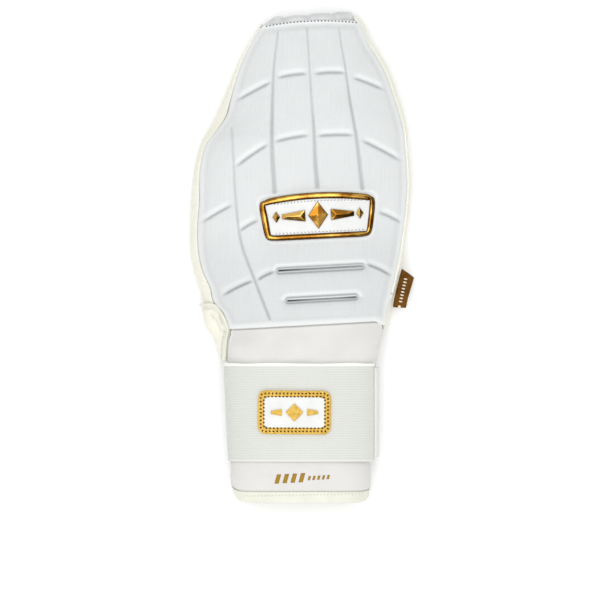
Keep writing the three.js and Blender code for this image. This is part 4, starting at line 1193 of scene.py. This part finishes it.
def heel_rim(side, share):
    outward = -1 if side == "left" else 1
    near = hand_x("pad_" + side, 0)
    y = heel_y(share, near)
    along = np.maximum(hand_share(near, y), 0)
    at = np.maximum((WRIST_SEAM - y) / CUFF_LENGTH, CUFF_ROWS["at"][2])
    middle = column(CUFF_ROWS, "middle", at) * CUFF_HALF
    half = column(CUFF_ROWS, "half", at) * CUFF_HALF
    beside_pad = outward * hand_x("pad_" + side, along)
    beside_cuff = outward * middle + half
    return outward * (np.maximum(beside_pad, beside_cuff) + 0.1 + LEATHER)


def crease_hump(x, y, width):
    distance, _ = nearest_on(HEEL_CREASE, x, y)
    return hump(distance, width)


def mark_heel_seam(mesh):
    """Darkens the line of sewing beside the rolled binding, and paints shade into the fold under the thumb
    side.
    """
    x, y, z = (points_of(mesh) / MM).T
    below_seam = heel_y(0, x) - y
    share = below_seam / (HEEL_LENGTH - (HEEL_LEAN - HAND_LEAN) * x)
    inset = np.minimum(heel_rim("left", share) - x + 0.8, below_seam)
    sewn = 0.5 * hump(inset - HEEL_SEAM_INSET, 0.45)
    # painted shade in the fold
    dark = np.maximum(sewn, 0.25 * crease_hump(x, y, 0.9))
    attribute(mesh, "crease", dark * (x < 0) * smooth((z - 8) / 6))


def make_heel(leather):
    edge = column(HEIGHT_ROWS, "edge", 0) * HAND_DEPTH

    def place(u, v):
        # The rims hug the pad, and the cuff below it.
        snug = 0.8 * smooth(v / 0.2)
        rim_left = heel_rim("left", v) + snug + 1.7 * hump(v - 0.56, 0.17)
        rim_right = heel_rim("right", v) - snug - 1.2 * hump(v - 0.85, 0.15)
        left = (rim_left, column(HEEL_ROWS, "out_left", v) * HAND_HALF)
        right = (rim_right, column(HEEL_ROWS, "out_right", v) * HAND_HALF)
        x, z = gusset_section(u, left, right, edge - RIM_DROP - HEEL_RIM_DROP * smooth(v))
        y = heel_y(v, x)
        slack = smooth(v / 0.2) * smooth((1 - v) / 0.15) * smooth((z - 2) / 6)
        fold = np.sin((y * 0.9 + z * 1.1) / 4.5) * 0.4 + np.sin((y * 1.3 - z * 0.8) / 3.1) * 0.2
        sink = HEEL_CREASE_DEPTH * crease_hump(x, y, 1.1) * smooth((z - 8) / 6)
        return x + np.sign(x) * fold * slack, y, z - sink

    heel = laid("palm_heel_leather", 150, 44, place, centre=(0, 14))
    mark_heel_seam(heel.data)
    wall(heel, LEATHER)
    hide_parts("palm_heel")
    return finish(heel, leather)


# Finger cap.


def lobe_shape(x):
    """How far the finger lobes reach at a distance from the centreline, and their crown, from 0 to 1."""
    left = hand_x("out_left", 1)
    right = hand_x("out_right", 1)
    share = np.clip((x - left) / (right - left), 0, 1)
    i = np.clip(np.searchsorted(TIP_LOBES["end"], share), 0, len(TIP_LOBES["end"]) - 1)
    start, end = TIP_LOBES["start"][i], TIP_LOBES["end"][i]
    local = (2 * share - start - end) / (end - start)
    crown = 1 - np.abs(local) ** 3
    crest = TIP_LOBES["reach"][i] * TIP_REACH - 1.3 * (1 - crown)
    ends = smooth(share / 0.16) * smooth((1 - share) / 0.06)
    return mix(TIP_SIDES, crest, ends), crown


def tip_outline():
    """The cap's base seen from the front: upper and lower heights at x places from left to right."""
    clear = GAP + LEATHER
    rim_height = column(HEIGHT_ROWS, "edge", 1) * HAND_DEPTH - RIM_DROP
    left = (hand_x("pad_left", 1) - clear, hand_x("out_left", 1))
    right = (hand_x("pad_right", 1) + clear, hand_x("out_right", 1))
    u = np.linspace(0, 1, 161)
    x, z = gusset_section(u, left, right, rim_height)
    s = 1 - np.abs(2 * u - 1)
    lower = s >= SECTION_RIM
    pad_x = np.linspace(hand_x("pad_left", 1), hand_x("pad_right", 1), 41)
    left_side = (s <= SECTION_RIM) & (u < 0.5)
    right_side = (s <= SECTION_RIM) & (u > 0.5)
    upper_x = np.concatenate([x[left_side][::-1], pad_x, x[right_side][::-1]])
    upper_z = np.concatenate([z[left_side][::-1], cushion_top(pad_x, 1.0), z[right_side][::-1]])
    order = np.argsort(upper_x)
    return (x[lower], z[lower]), (upper_x[order], upper_z[order])


def make_tip(cloth):
    lower, upper = tip_outline()
    low, high = hand_x("out_left", 1), hand_x("out_right", 1)
    centre, half = (low + high) / 2, (high - low) / 2
    middle = 0.42 * column(HEIGHT_ROWS, "crown", 1) * HAND_DEPTH

    def place(u, v):
        angle = 2 * math.pi * u
        x = centre - half * np.cos(angle)
        top = np.interp(x, *upper)
        below = np.interp(x, *lower)
        is_top = np.sin(angle) > 0
        z = np.where(is_top, top, below)
        turn = v * math.pi / 2
        forward = np.sin(turn)
        reach, crown = lobe_shape(x)
        puff = crown * np.sin(2 * turn) * np.where(is_top, 1.5, 0.2)
        pleat = PLEAT_HEIGHT * np.sin(x * 1.9) * np.sin(x * 0.77 + 1) * hump(turn - 0.25, 0.35)
        rise = np.cos(turn) ** TIP_BOXY
        placed_x = mix(centre, x, 1 - 0.05 * forward)
        y = hand_y(1, placed_x) + GAP + reach * forward
        return placed_x, y, mix(middle, z, rise) + (puff + pleat) * np.where(is_top, 1, 0.3)

    tip = laid("tip_wrap_cloth", 220, 26, place, loop=True, centre=(centre, 14))
    points = points_of(tip.data) / MM
    _, crown = lobe_shape(points[:, 0])
    held = (points[:, 1] - hand_y(1, points[:, 0]) < GAP + 0.4) | (crown < 0.3)
    put_points(tip.data, swell(tip.data, held, LOBE_SWELL))
    wall(tip, TIP_WALL)
    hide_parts("tip_wrap")
    return finish(tip, cloth)


# Wrist part.


def oblong(middle, half, floor, top, angle, square=WRIST_SQUARE):
    """A rounded box section, squarer than an ellipse."""
    out = np.minimum(np.abs(np.cos(angle)), 1) ** (2 / WRIST_SQUARE)
    up = np.maximum(1 - out**square, 0) ** (1 / square)
    x = middle + half * np.sign(np.cos(angle)) * out
    return x, (floor + top) / 2 + (top - floor) / 2 * np.sign(np.sin(angle)) * up


def cuff_point(at, angle, grow=0.0, shift=0.0):
    start = hump(at - 0.004, 0.018)
    middle = column(CUFF_ROWS, "middle", at) * CUFF_HALF
    half = column(CUFF_ROWS, "half", at) * CUFF_HALF + grow + CUFF_START_WIDER * start
    floor = CUFF_FLOOR + column(CUFF_ROWS, "floor", at) * CUFF_DEPTH - grow
    top = CUFF_FLOOR + column(CUFF_ROWS, "top", at) * CUFF_DEPTH + grow
    square = mix(CUFF_START_SQUARE, WRIST_SQUARE, smooth(at / 0.2))
    x, z = oblong(middle, half, floor, top, angle, square)
    upper = smooth(np.sin(angle) / 0.3)
    z = mix(z, pad_base(x, 0.0) - CUFF_BELOW_PAD + grow, upper * (1 - smooth(at / 0.17)))
    z = z - CUFF_SEAM_DEPTH * upper * (1 - smooth((at - 0.003) / 0.008))
    side = np.abs(np.cos(angle)) ** CORNER_SHARP
    lift = np.where(np.cos(angle) < 0, CUFF_LIFT_LEFT, CUFF_LIFT_RIGHT)
    lean = HAND_LEAN * (1 - smooth(at / 0.2))
    lifted = 0.42 * smooth((at - 0.78) / 0.16) + 0.58 * np.clip((at - 0.945) / 0.055, 0, 1)
    y = WRIST_SEAM - CUFF_LENGTH * at + shift + lean * x + lift * side * lifted
    return x, y, z


def make_cuff(jersey):
    first, last = CUFF_ROWS["at"][0], CUFF_ROWS["at"][-1]

    def place(u, v):
        at = np.interp(v, (0, 0.04, 0.12, 1), (first, -0.002, 0.02, last))
        angle = 2 * math.pi * u
        x, y, z = cuff_point(at, angle)
        slack = smooth((at - 0.03) / 0.04) * (1 - smooth((at - 0.2) / 0.1))
        ripple = CUFF_RIPPLE * np.sin(x / 9 + 1.3) * np.sin(y / 5.5) + 0.2 * np.sin(x / 4.3 - y / 7)
        return x, y, z + np.sin(angle) * ripple * slack

    cuff = laid("cuff_neoprene", 180, 150, place, loop=True, centre=(0, 21))
    wall(cuff, CUFF_WALL)
    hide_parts("cuff")
    return finish(cuff, jersey)


def make_hem(tape):
    def place(u, v):
        section = {name: np.interp(v, HEM_SECTION["at"], values) for name, values in HEM_SECTION.items()}
        angle = 2 * math.pi * u
        pucker = HEM_PUCKER * np.sin(angle * HEM_PUCKERS) * hump(v - 0.05, 0.06)
        flush = HEM_FLUSH * np.abs(np.cos(angle)) ** CORNER_SHARP * (1 - smooth((v - 0.25) / 0.15))
        at = 1 - section["upper"] * HEM_HEIGHT / CUFF_LENGTH
        return cuff_point(at, angle, section["grow"] + pucker - flush, section["shift"])

    hem = laid("cuff_hem_tape", 440, 50, place, loop=True)
    with worked(hem.data) as bm:
        if bm.calc_volume(signed=True) < 0:
            bmesh.ops.reverse_faces(bm, faces=bm.faces)
    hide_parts("cuff_hem")
    return finish(hem, tape)


def strap_level(lower):
    """Left, right, underside and top of the strap's inner face at a share down its width."""
    at = (STRAP_TOP + STRAP_WIDTH * lower) / CUFF_LENGTH
    upper = STRAP_TOP / CUFF_LENGTH
    left = (column(CUFF_ROWS, "middle", at) - column(CUFF_ROWS, "half", at)) * CUFF_HALF
    right = (column(CUFF_ROWS, "middle", upper) + column(CUFF_ROWS, "half", upper)) * CUFF_HALF
    floor, top = CUFF_FLOOR - GAP, CUFF_FLOOR + CUFF_DEPTH + GAP
    return left - GAP - mix(0.9, 0.1, lower), right + GAP, floor, top


def band_point(lower, angle, grow):
    """A point of the strap, a growth in mm outside its inner face."""
    left, right, floor, top = strap_level(lower)
    middle, half, centre = (left + right) / 2, (right - left) / 2, (floor + top) / 2
    x, z = oblong(middle, half, floor, top, angle)
    away_x, away_z = (x - middle) / half, (z - centre) / (top - centre)
    grow = grow / np.hypot(away_x, away_z)
    y = WRIST_SEAM - STRAP_TOP - STRAP_WIDTH * lower
    return x + grow * away_x, y, z + grow * away_z


def make_strap(web):
    rib_count = round(STRAP_WIDTH / STRAP_RIB)

    def rib(v):
        return np.cos(v * 2 * math.pi * rib_count)

    def folded(v):
        return smooth((STRAP_FOLD / STRAP_WIDTH - v) / 0.006 + 0.5)

    def place(u, v):
        angle = mix(STRAP_START, STRAP_END, u)
        rise = mix(STRAP_RIB_HEIGHT * rib(v), STRAP_FOLD_RISE, folded(v))
        rise = mix(rise, STRAP_EDGE_RISE, smooth((v - 1 + STRAP_EDGE) / 0.004))
        wave = STRAP_WAVE * np.sin(angle * 7 + 1) * hump(v, 0.07)
        x, y, z = band_point(v, angle, STRAP_WALL - 0.3 + rise)
        return x, y + wave, z

    strap = laid("strap_elastic", 150, rib_count * 6, place, centre=(0, 21))
    v = (WRIST_SEAM - STRAP_TOP - points_of(strap.data)[:, 1] / MM) / STRAP_WIDTH
    attribute(strap.data, "rib", 0.5 + 0.5 * rib(v))
    attribute(strap.data, "fold", np.maximum(folded(v), 0.7 * smooth((v - 0.984) / 0.004)))
    wall(strap, STRAP_WALL - 0.3)
    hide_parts("strap")
    return finish(strap, web)


def make_tab(web):
    inset = TAB_INSET / STRAP_WIDTH

    def place(u, v):
        angle = mix(STRAP_START - 0.02, TAB_END, u)
        inner = (STRAP_WALL + GAP) * smooth((-0.2 - angle) / 0.3)
        x, y, z = band_point(mix(inset, 1 - inset, v), angle, inner + TAB_WALL)
        soften = smooth(np.minimum(v, 1 - v) / 0.02)
        return x - 0.4 * (1 - soften), y, z

    tab = laid("strap_tab_elastic", 50, 70, place, centre=(0, 21))
    attribute(tab.data, "rib", np.ones(len(tab.data.vertices)))
    attribute(tab.data, "fold", np.full(len(tab.data.vertices), 0.8))
    wall(tab, TAB_WALL)
    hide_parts("strap_tab")
    return finish(tab, web)


# Small things that lie on a surface: needle holes as dark beads of painted shade, stitches, prints and the
# badges' ornaments.


class Ground:
    """The upper surface of some pieces."""

    def __init__(self, *pieces):
        graph = bpy.context.evaluated_depsgraph_get()
        self.trees = [BVHTree.FromObject(piece, graph) for piece in pieces]

    def under(self, x, y):
        """The highest point and its normal below a place in mm."""
        best = None
        for tree in self.trees:
            hit = tree.ray_cast(Vector((x * MM, y * MM, 0.1)), Vector((0, 0, -1)))
            if hit[0] is not None and (best is None or hit[0].z > best[0].z):
                best = (hit[0], hit[1])
        return best

    def level(self, x, y):
        heights = [self.under(float(px), float(py)) for px, py in zip(x, y)]
        return np.array([hit[0].z / MM if hit else 0.0 for hit in heights])


def evenly(points, pitch):
    """Places at an even pitch along a path, each with the path's direction there."""
    points = np.asarray(points, float)
    steps = np.hypot(*np.diff(points, axis=0).T)
    lengths = np.concatenate([[0], np.cumsum(steps)])
    count = max(round(lengths[-1] / pitch), 1)
    at = (np.arange(count) + 0.5) * lengths[-1] / count
    x = np.interp(at, lengths, points[:, 0])
    y = np.interp(at, lengths, points[:, 1])
    ahead_x = np.interp(at + 0.2, lengths, points[:, 0])
    ahead_y = np.interp(at + 0.2, lengths, points[:, 1])
    return [(px, py, math.atan2(qy - py, qx - px)) for px, py, qx, qy in zip(x, y, ahead_x, ahead_y)]


def rounded_box(centre_x, centre_y, width, height, round_off):
    """A closed path round a box, with seven points at each corner."""
    points = []
    for i, (side_x, side_y) in enumerate(((1, 1), (-1, 1), (-1, -1), (1, -1))):
        corner_x = centre_x + side_x * (width / 2 - round_off)
        corner_y = centre_y + side_y * (height / 2 - round_off)
        for step in range(7):
            angle = math.radians(90 * i + 15 * step)
            points.append((corner_x + round_off * math.cos(angle), corner_y + round_off * math.sin(angle)))
    return points + points[:1]


def beads(name, ground, spots, half, material, turn=0.0, swing=0.0, lift=0.0):
    """One mesh of small flattened rounds on a surface, half holds their half sizes in mm."""
    mesh = bpy.data.meshes.new(name)
    size = Matrix.Diagonal([value * MM for value in half] + [1])
    with worked(mesh) as bm:
        for i, (x, y, direction) in enumerate(spots):
            hit = ground.under(x, y)
            if hit is None:
                continue
            lean = hit[1].to_track_quat("Z", "Y").to_matrix().to_4x4()
            angle = direction + turn + swing * (1 if i % 2 else -1)
            place = Matrix.Translation(hit[0] + hit[1] * lift * MM)
            matrix = place @ lean @ Matrix.Rotation(angle, 4, "Z") @ size
            bmesh.ops.create_uvsphere(bm, u_segments=8, v_segments=5, radius=1, matrix=matrix)
    smooth_shade(mesh)
    return finish(link(name, mesh), material)


def cut_boss(node, ground, seat, corners, ridge, gilt):
    """A faceted boss: a low wall, and facets that rise to a ridge of a share of its length."""
    closed = np.array(corners + corners[:1], float)

    def place(u, v):
        spot = u * len(corners)
        i = np.minimum(spot.astype(int), len(corners) - 1)
        f = (spot - i)[:, None]
        outline = closed[i] * (1 - f) + closed[i + 1] * f
        inward = np.clip((v - 0.2) / 0.8, 0, 1)
        x, y = seat(outline[:, 0] * (1 - inward * (1 - ridge)), outline[:, 1] * (1 - inward))
        return x, y, ground.level(x, y) + mix(-0.3, BOSS_RISE, smooth(v / 0.2)) + BOSS_ROOF * inward

    boss = laid(node + "_gilt", 12 * len(corners), 15, place, loop=True)
    if boss.data.polygons[len(boss.data.polygons) // 2].normal.z < 0:
        boss.data.flip_normals()
    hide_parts(node)
    return finish(mark_steep(boss, 0.72), gilt)


def lozenge(width, height):
    return [(width / 2, 0), (0, height / 2), (-width / 2, 0), (0, -height / 2)]


def tapered_bar(length, near, far, side):
    inner, outer = -side * length / 2, side * length / 2
    return [(inner, near / 2), (inner, -near / 2), (outer, -far / 2), (outer, far / 2)]


def widen_rim(rim):
    """Moves the rim's inner side inwards, most along its upper edge, and its left side outwards."""
    points = points_of(rim.data) / MM
    x, y = points[:, 0], points[:, 1]
    out = beside_badge(x, y)
    slope_x = (beside_badge(x + 0.1, y) - out) / 0.1
    slope_y = (beside_badge(x, y + 0.1) - out) / 0.1
    inner = smooth(-out / RIM_WIDTH)
    grow = mix(0.8 * np.maximum(-slope_x, 0), -0.3 - 0.8 * np.maximum(slope_y, 0), inner)
    points[:, 0] += grow * slope_x
    points[:, 1] += grow * slope_y
    put_points(rim.data, points * MM)


def make_badge(plate, rim, gilt):
    """Moves the badge's copies to the photo's upper edge, and sets the ornament on its field."""
    for piece in (plate, rim):
        settle(piece)
        points = points_of(piece.data) / MM
        along, across = badge_frame(points[:, 0], points[:, 1])
        share = along / (BADGE_WIDTH / 2)
        points[:, 1] += smooth(across / 6) * (1.9 * share * share - 0.9)
        put_points(piece.data, points * MM)
    widen_rim(rim)
    mark_steep(rim)
    ground = Ground(plate)
    w, h = BADGE_WIDTH, BADGE_HEIGHT
    shapes = {"lozenge": (0.0, lozenge(w * 0.17, h * 0.58))}
    for name, side in (("left", -1), ("right", 1)):
        shapes["bar_" + name] = (side * w * 0.21, tapered_bar(w * 0.2, h * 0.24, h * 0.1, side))
        shapes["stud_" + name] = (side * w * 0.36, lozenge(w * 0.065, h * 0.24))
    for name, (shift, corners) in shapes.items():

        def seat(along, across, shift=shift):
            return badge_place(along + shift, across)

        cut_boss("badge_" + name, ground, seat, corners, 0.6 if name.startswith("bar") else 0.0, gilt)
    # grey dashes of painted shade for the needle holes between the field's white stitches
    thread = small_mark_finish("badge_stitch_shade", BADGE_STITCH_SHADE_TONES)
    across = np.linspace(-31, 32, 20)
    upper = np.stack(badge_place(across, badge_top(across) - RIM_WIDTH - 2.3), axis=1)
    lower = np.stack(badge_place(across, np.full(20, -BADGE_HEIGHT / 2 + RIM_WIDTH + 1.5)), axis=1)
    spots = evenly(upper, 2.3) + evenly(lower, 2.5)
    beads("badge_field_stitch_shade", ground, spots, (0.9, 0.32, 0.18), thread, turn=-0.9)


def make_wrist_badge(plate, border):
    """Widens the field to close the gap to its frame, and sets two rows of needle holes in that, as dark
    beads of painted shade.
    """
    settle(plate)
    points = points_of(plate.data)
    centre = (points.max(axis=0) + points.min(axis=0)) / 2
    points[:, :2] += (points[:, :2] - centre[:2]) * (0.9 * MM / (points.max(axis=0) - centre)[:2])
    put_points(plate.data, points)
    middle_y = WRIST_SEAM - STRAP_TOP - WRIST_BADGE_DROP
    spots = []
    for inset, round_off in ((4.1, 2.6), (8.4, 1.4)):
        width, height = WRIST_BADGE_WIDTH - inset, WRIST_BADGE_HEIGHT - inset
        spots += evenly(rounded_box(WRIST_BADGE_X, middle_y, width, height, round_off), 2.6)
    # dark beads paint the needle holes' shade
    dark = small_mark_finish("gilt_needle_hole_shade", GILT_HOLE_SHADE_TONES)
    beads("wrist_badge_needle_hole_shade", Ground(border), spots, (0.84, 0.68, 0.34), dark)


def make_tip_seam(ground):
    # dark beads paint the needle holes' shade along the seam
    dark = small_mark_finish("seam_needle_hole_shade", SEAM_HOLE_SHADE_TONES)
    x = np.linspace(-24.5, 40.5, 30)
    spots = evenly(np.stack([x, hand_y(1, x) - 0.1], axis=1), 2.4)
    beads("tip_seam_needle_hole_shade", ground, spots, (0.62, 0.5, 0.4), dark, lift=0.1)


def make_hem_seam(ground):
    thread = small_mark_finish("hem_thread", HEM_THREAD_TONES)
    x = np.linspace(-40, 45, 20)
    spots = evenly(np.stack([x, np.linspace(-167.3, -165.3, 20)], axis=1), 2.4)
    beads("cuff_hem_stitches", ground, spots, (0.95, 0.28, 0.2), thread, swing=0.5)


def make_side_tab(tape):
    """The side tab, lower and narrower at its foot than the solid, with a plain woven mark."""
    tab = finer_copy("side_tab", "side_tab_tape", 0.8)
    settle(tab)
    points = points_of(tab.data) / MM
    low, high = points.min(axis=0), points.max(axis=0)
    outer = smooth((points[:, 0] - low[0]) / (high[0] - low[0]))
    foot = smooth((high[1] - points[:, 1]) / (high[1] - low[1]))
    points[:, 0] -= 2.6 * outer * foot
    points[:, 1] -= 2
    put_points(tab.data, points * MM)
    finish(tab, tape)
    ground = Ground(tab)
    pale = small_mark_finish("tab_mark", TAB_MARK_TONES)
    spots = evenly([(74.2, -14.5), (70.2, -32.5)], 2.3)
    beads("side_tab_bars", ground, spots, (1.45, 0.55, 0.2), pale, turn=math.pi / 2)
    beads("side_tab_dot", ground, [(69.6, -35.0, 0.0)], (1.1, 1.1, 0.2), pale)


def make_print(cuff):
    """A plain printed mark on the cuff: slanted bars and a row of short ones."""
    ink = small_mark_finish("cuff_ink", INK_TONES)
    ground = Ground(cuff)
    marks = [(-15.5 + 5.6 * i, -155.2 + 0.3 * i, 3.0, 6.4) for i in range(4)]
    marks += [(6.5 + 3.3 * i, -154.6 + 0.18 * i, 1.7, 2.9) for i in range(5)]
    mesh = bpy.data.meshes.new("cuff_print")
    with worked(mesh) as bm:
        for x, y, width, height in marks:
            slant = Matrix(((width, height * 0.28, 0, x), (0, height, 0, y), (0, 0, 1, 0), (0, 0, 0, 1)))
            bmesh.ops.create_grid(bm, x_segments=4, y_segments=6, size=0.5, matrix=slant)
    points = points_of(mesh)
    points[:, 2] = ground.level(points[:, 0], points[:, 1]) + 0.12
    put_points(mesh, points * MM)
    smooth_shade(mesh)
    mark = link("cuff_print", mesh)
    wall(mark, 0.1)
    return finish(mark, ink)


# Camera, light and floor.


def make_stage():
    mesh = bpy.data.meshes.new("floor")
    with worked(mesh) as bm:
        bmesh.ops.create_circle(bm, cap_ends=True, segments=64, radius=9)
    mesh.transform(Matrix.Translation((0, 0, -0.0003)))
    floor = link("floor", mesh)
    pale = Recipe("pale_floor", Roughness=0.9)
    cloud = pale.noise(pale.place(), 0.5, 2)
    floor.data.materials.append(pale.end(Base_Color=pale.blend(cloud, *FLOOR_TONES)))


def make_flag():
    """A dark wall on one side that only the shiny metal sees, for contrast in it."""

    def place(u, v):
        angle = np.radians(mix(-115, 40, u))
        return 1000 * np.cos(angle), 1000 * np.sin(angle), mix(80, 1150, v)

    flag = laid("dark_flag", 24, 2, place)
    flag.data.materials.append(Recipe("dark_cloth", Roughness=1.0).end(Base_Color=FLAG_COLOUR))
    flag.visible_camera = False
    flag.visible_diffuse = False
    flag.visible_shadow = False
    flag.visible_transmission = False


def area_light(name, place, size, power):
    """A softbox that faces the mitt."""
    light = bpy.data.lights.new(name, "AREA")
    light.shape = "RECTANGLE"
    light.size, light.size_y = size
    light.energy = power
    lamp = link(name, light)
    lamp.location = place
    lamp.rotation_euler = (-Vector(place)).to_track_quat("-Z", "Y").to_euler()


def make_light():
    area_light("south_softbox", (0.1, -1.3, 1.1), (1.4, 0.7), 7)
    area_light("top_softbox", (-0.1, 0.2, 1.9), (1.6, 1.6), 18)
    world = bpy.data.worlds.new("studio")
    world.use_nodes = True
    sky = world.node_tree.nodes["Background"]
    sky.inputs["Color"].default_value = (1, 1, 1, 1)
    sky.inputs["Strength"].default_value = 0.8
    bpy.context.scene.world = world
    bpy.context.scene.view_settings.view_transform = "Standard"


def make_camera():
    lens = bpy.data.cameras.new("camera")
    lens.sensor_width = 36
    lens.lens = 36 * (CAMERA_HEIGHT - FOCUS_HEIGHT) / PHOTO_WIDTH
    camera = link("camera", lens)
    camera.location = (0, VIEW_CENTRE_Y, CAMERA_HEIGHT)
    lens.clip_end = 30
    bpy.context.scene.camera = camera


make_camera()
make_stage()
make_flag()
make_light()
knit = knit_finish()
leather = leather_finish()
tape = binding_finish()
gilt = gilt_finish("polished_gilt", GILT_REFLECTION_TONES)
rim_gilt = gilt_finish("rim_gilt", RIM_REFLECTION_TONES)
gilt_thread = gilt_thread_finish()
badge_white = badge_finish()
web = elastic_finish()
pad = make_pad(knit)
make_palm(leather)
make_heel(leather)
tip = make_tip(tip_finish())
cuff = make_cuff(neoprene_finish())
hem = make_hem(tape)
make_strap(web)
make_tab(web)
finish(finer_copy("heel_binding", "heel_binding_roll"), tape)
plate = finish(finer_copy("badge_plate", "badge_plate_field", 0.6), badge_white)
rim = finish(finer_copy("badge_rim", "badge_rim_gilt", 0.25), rim_gilt)
make_badge(plate, rim, gilt)
field = finish(finer_copy("wrist_badge_plate", "wrist_badge_field", 0.6), badge_white)
border = finer_copy("wrist_badge_frame", "wrist_badge_frame_thread", 0.3)
finish(border, gilt_thread)
for part in ("wrist_badge_diamond", "wrist_badge_stripe_left", "wrist_badge_stripe_right"):
    finish(finer_copy(part, part + "_thread", 0.7), gilt_thread)
make_wrist_badge(field, border)
make_side_tab(tab_finish())
make_tip_seam(Ground(pad, tip))
make_hem_seam(Ground(hem))
make_print(cuff)
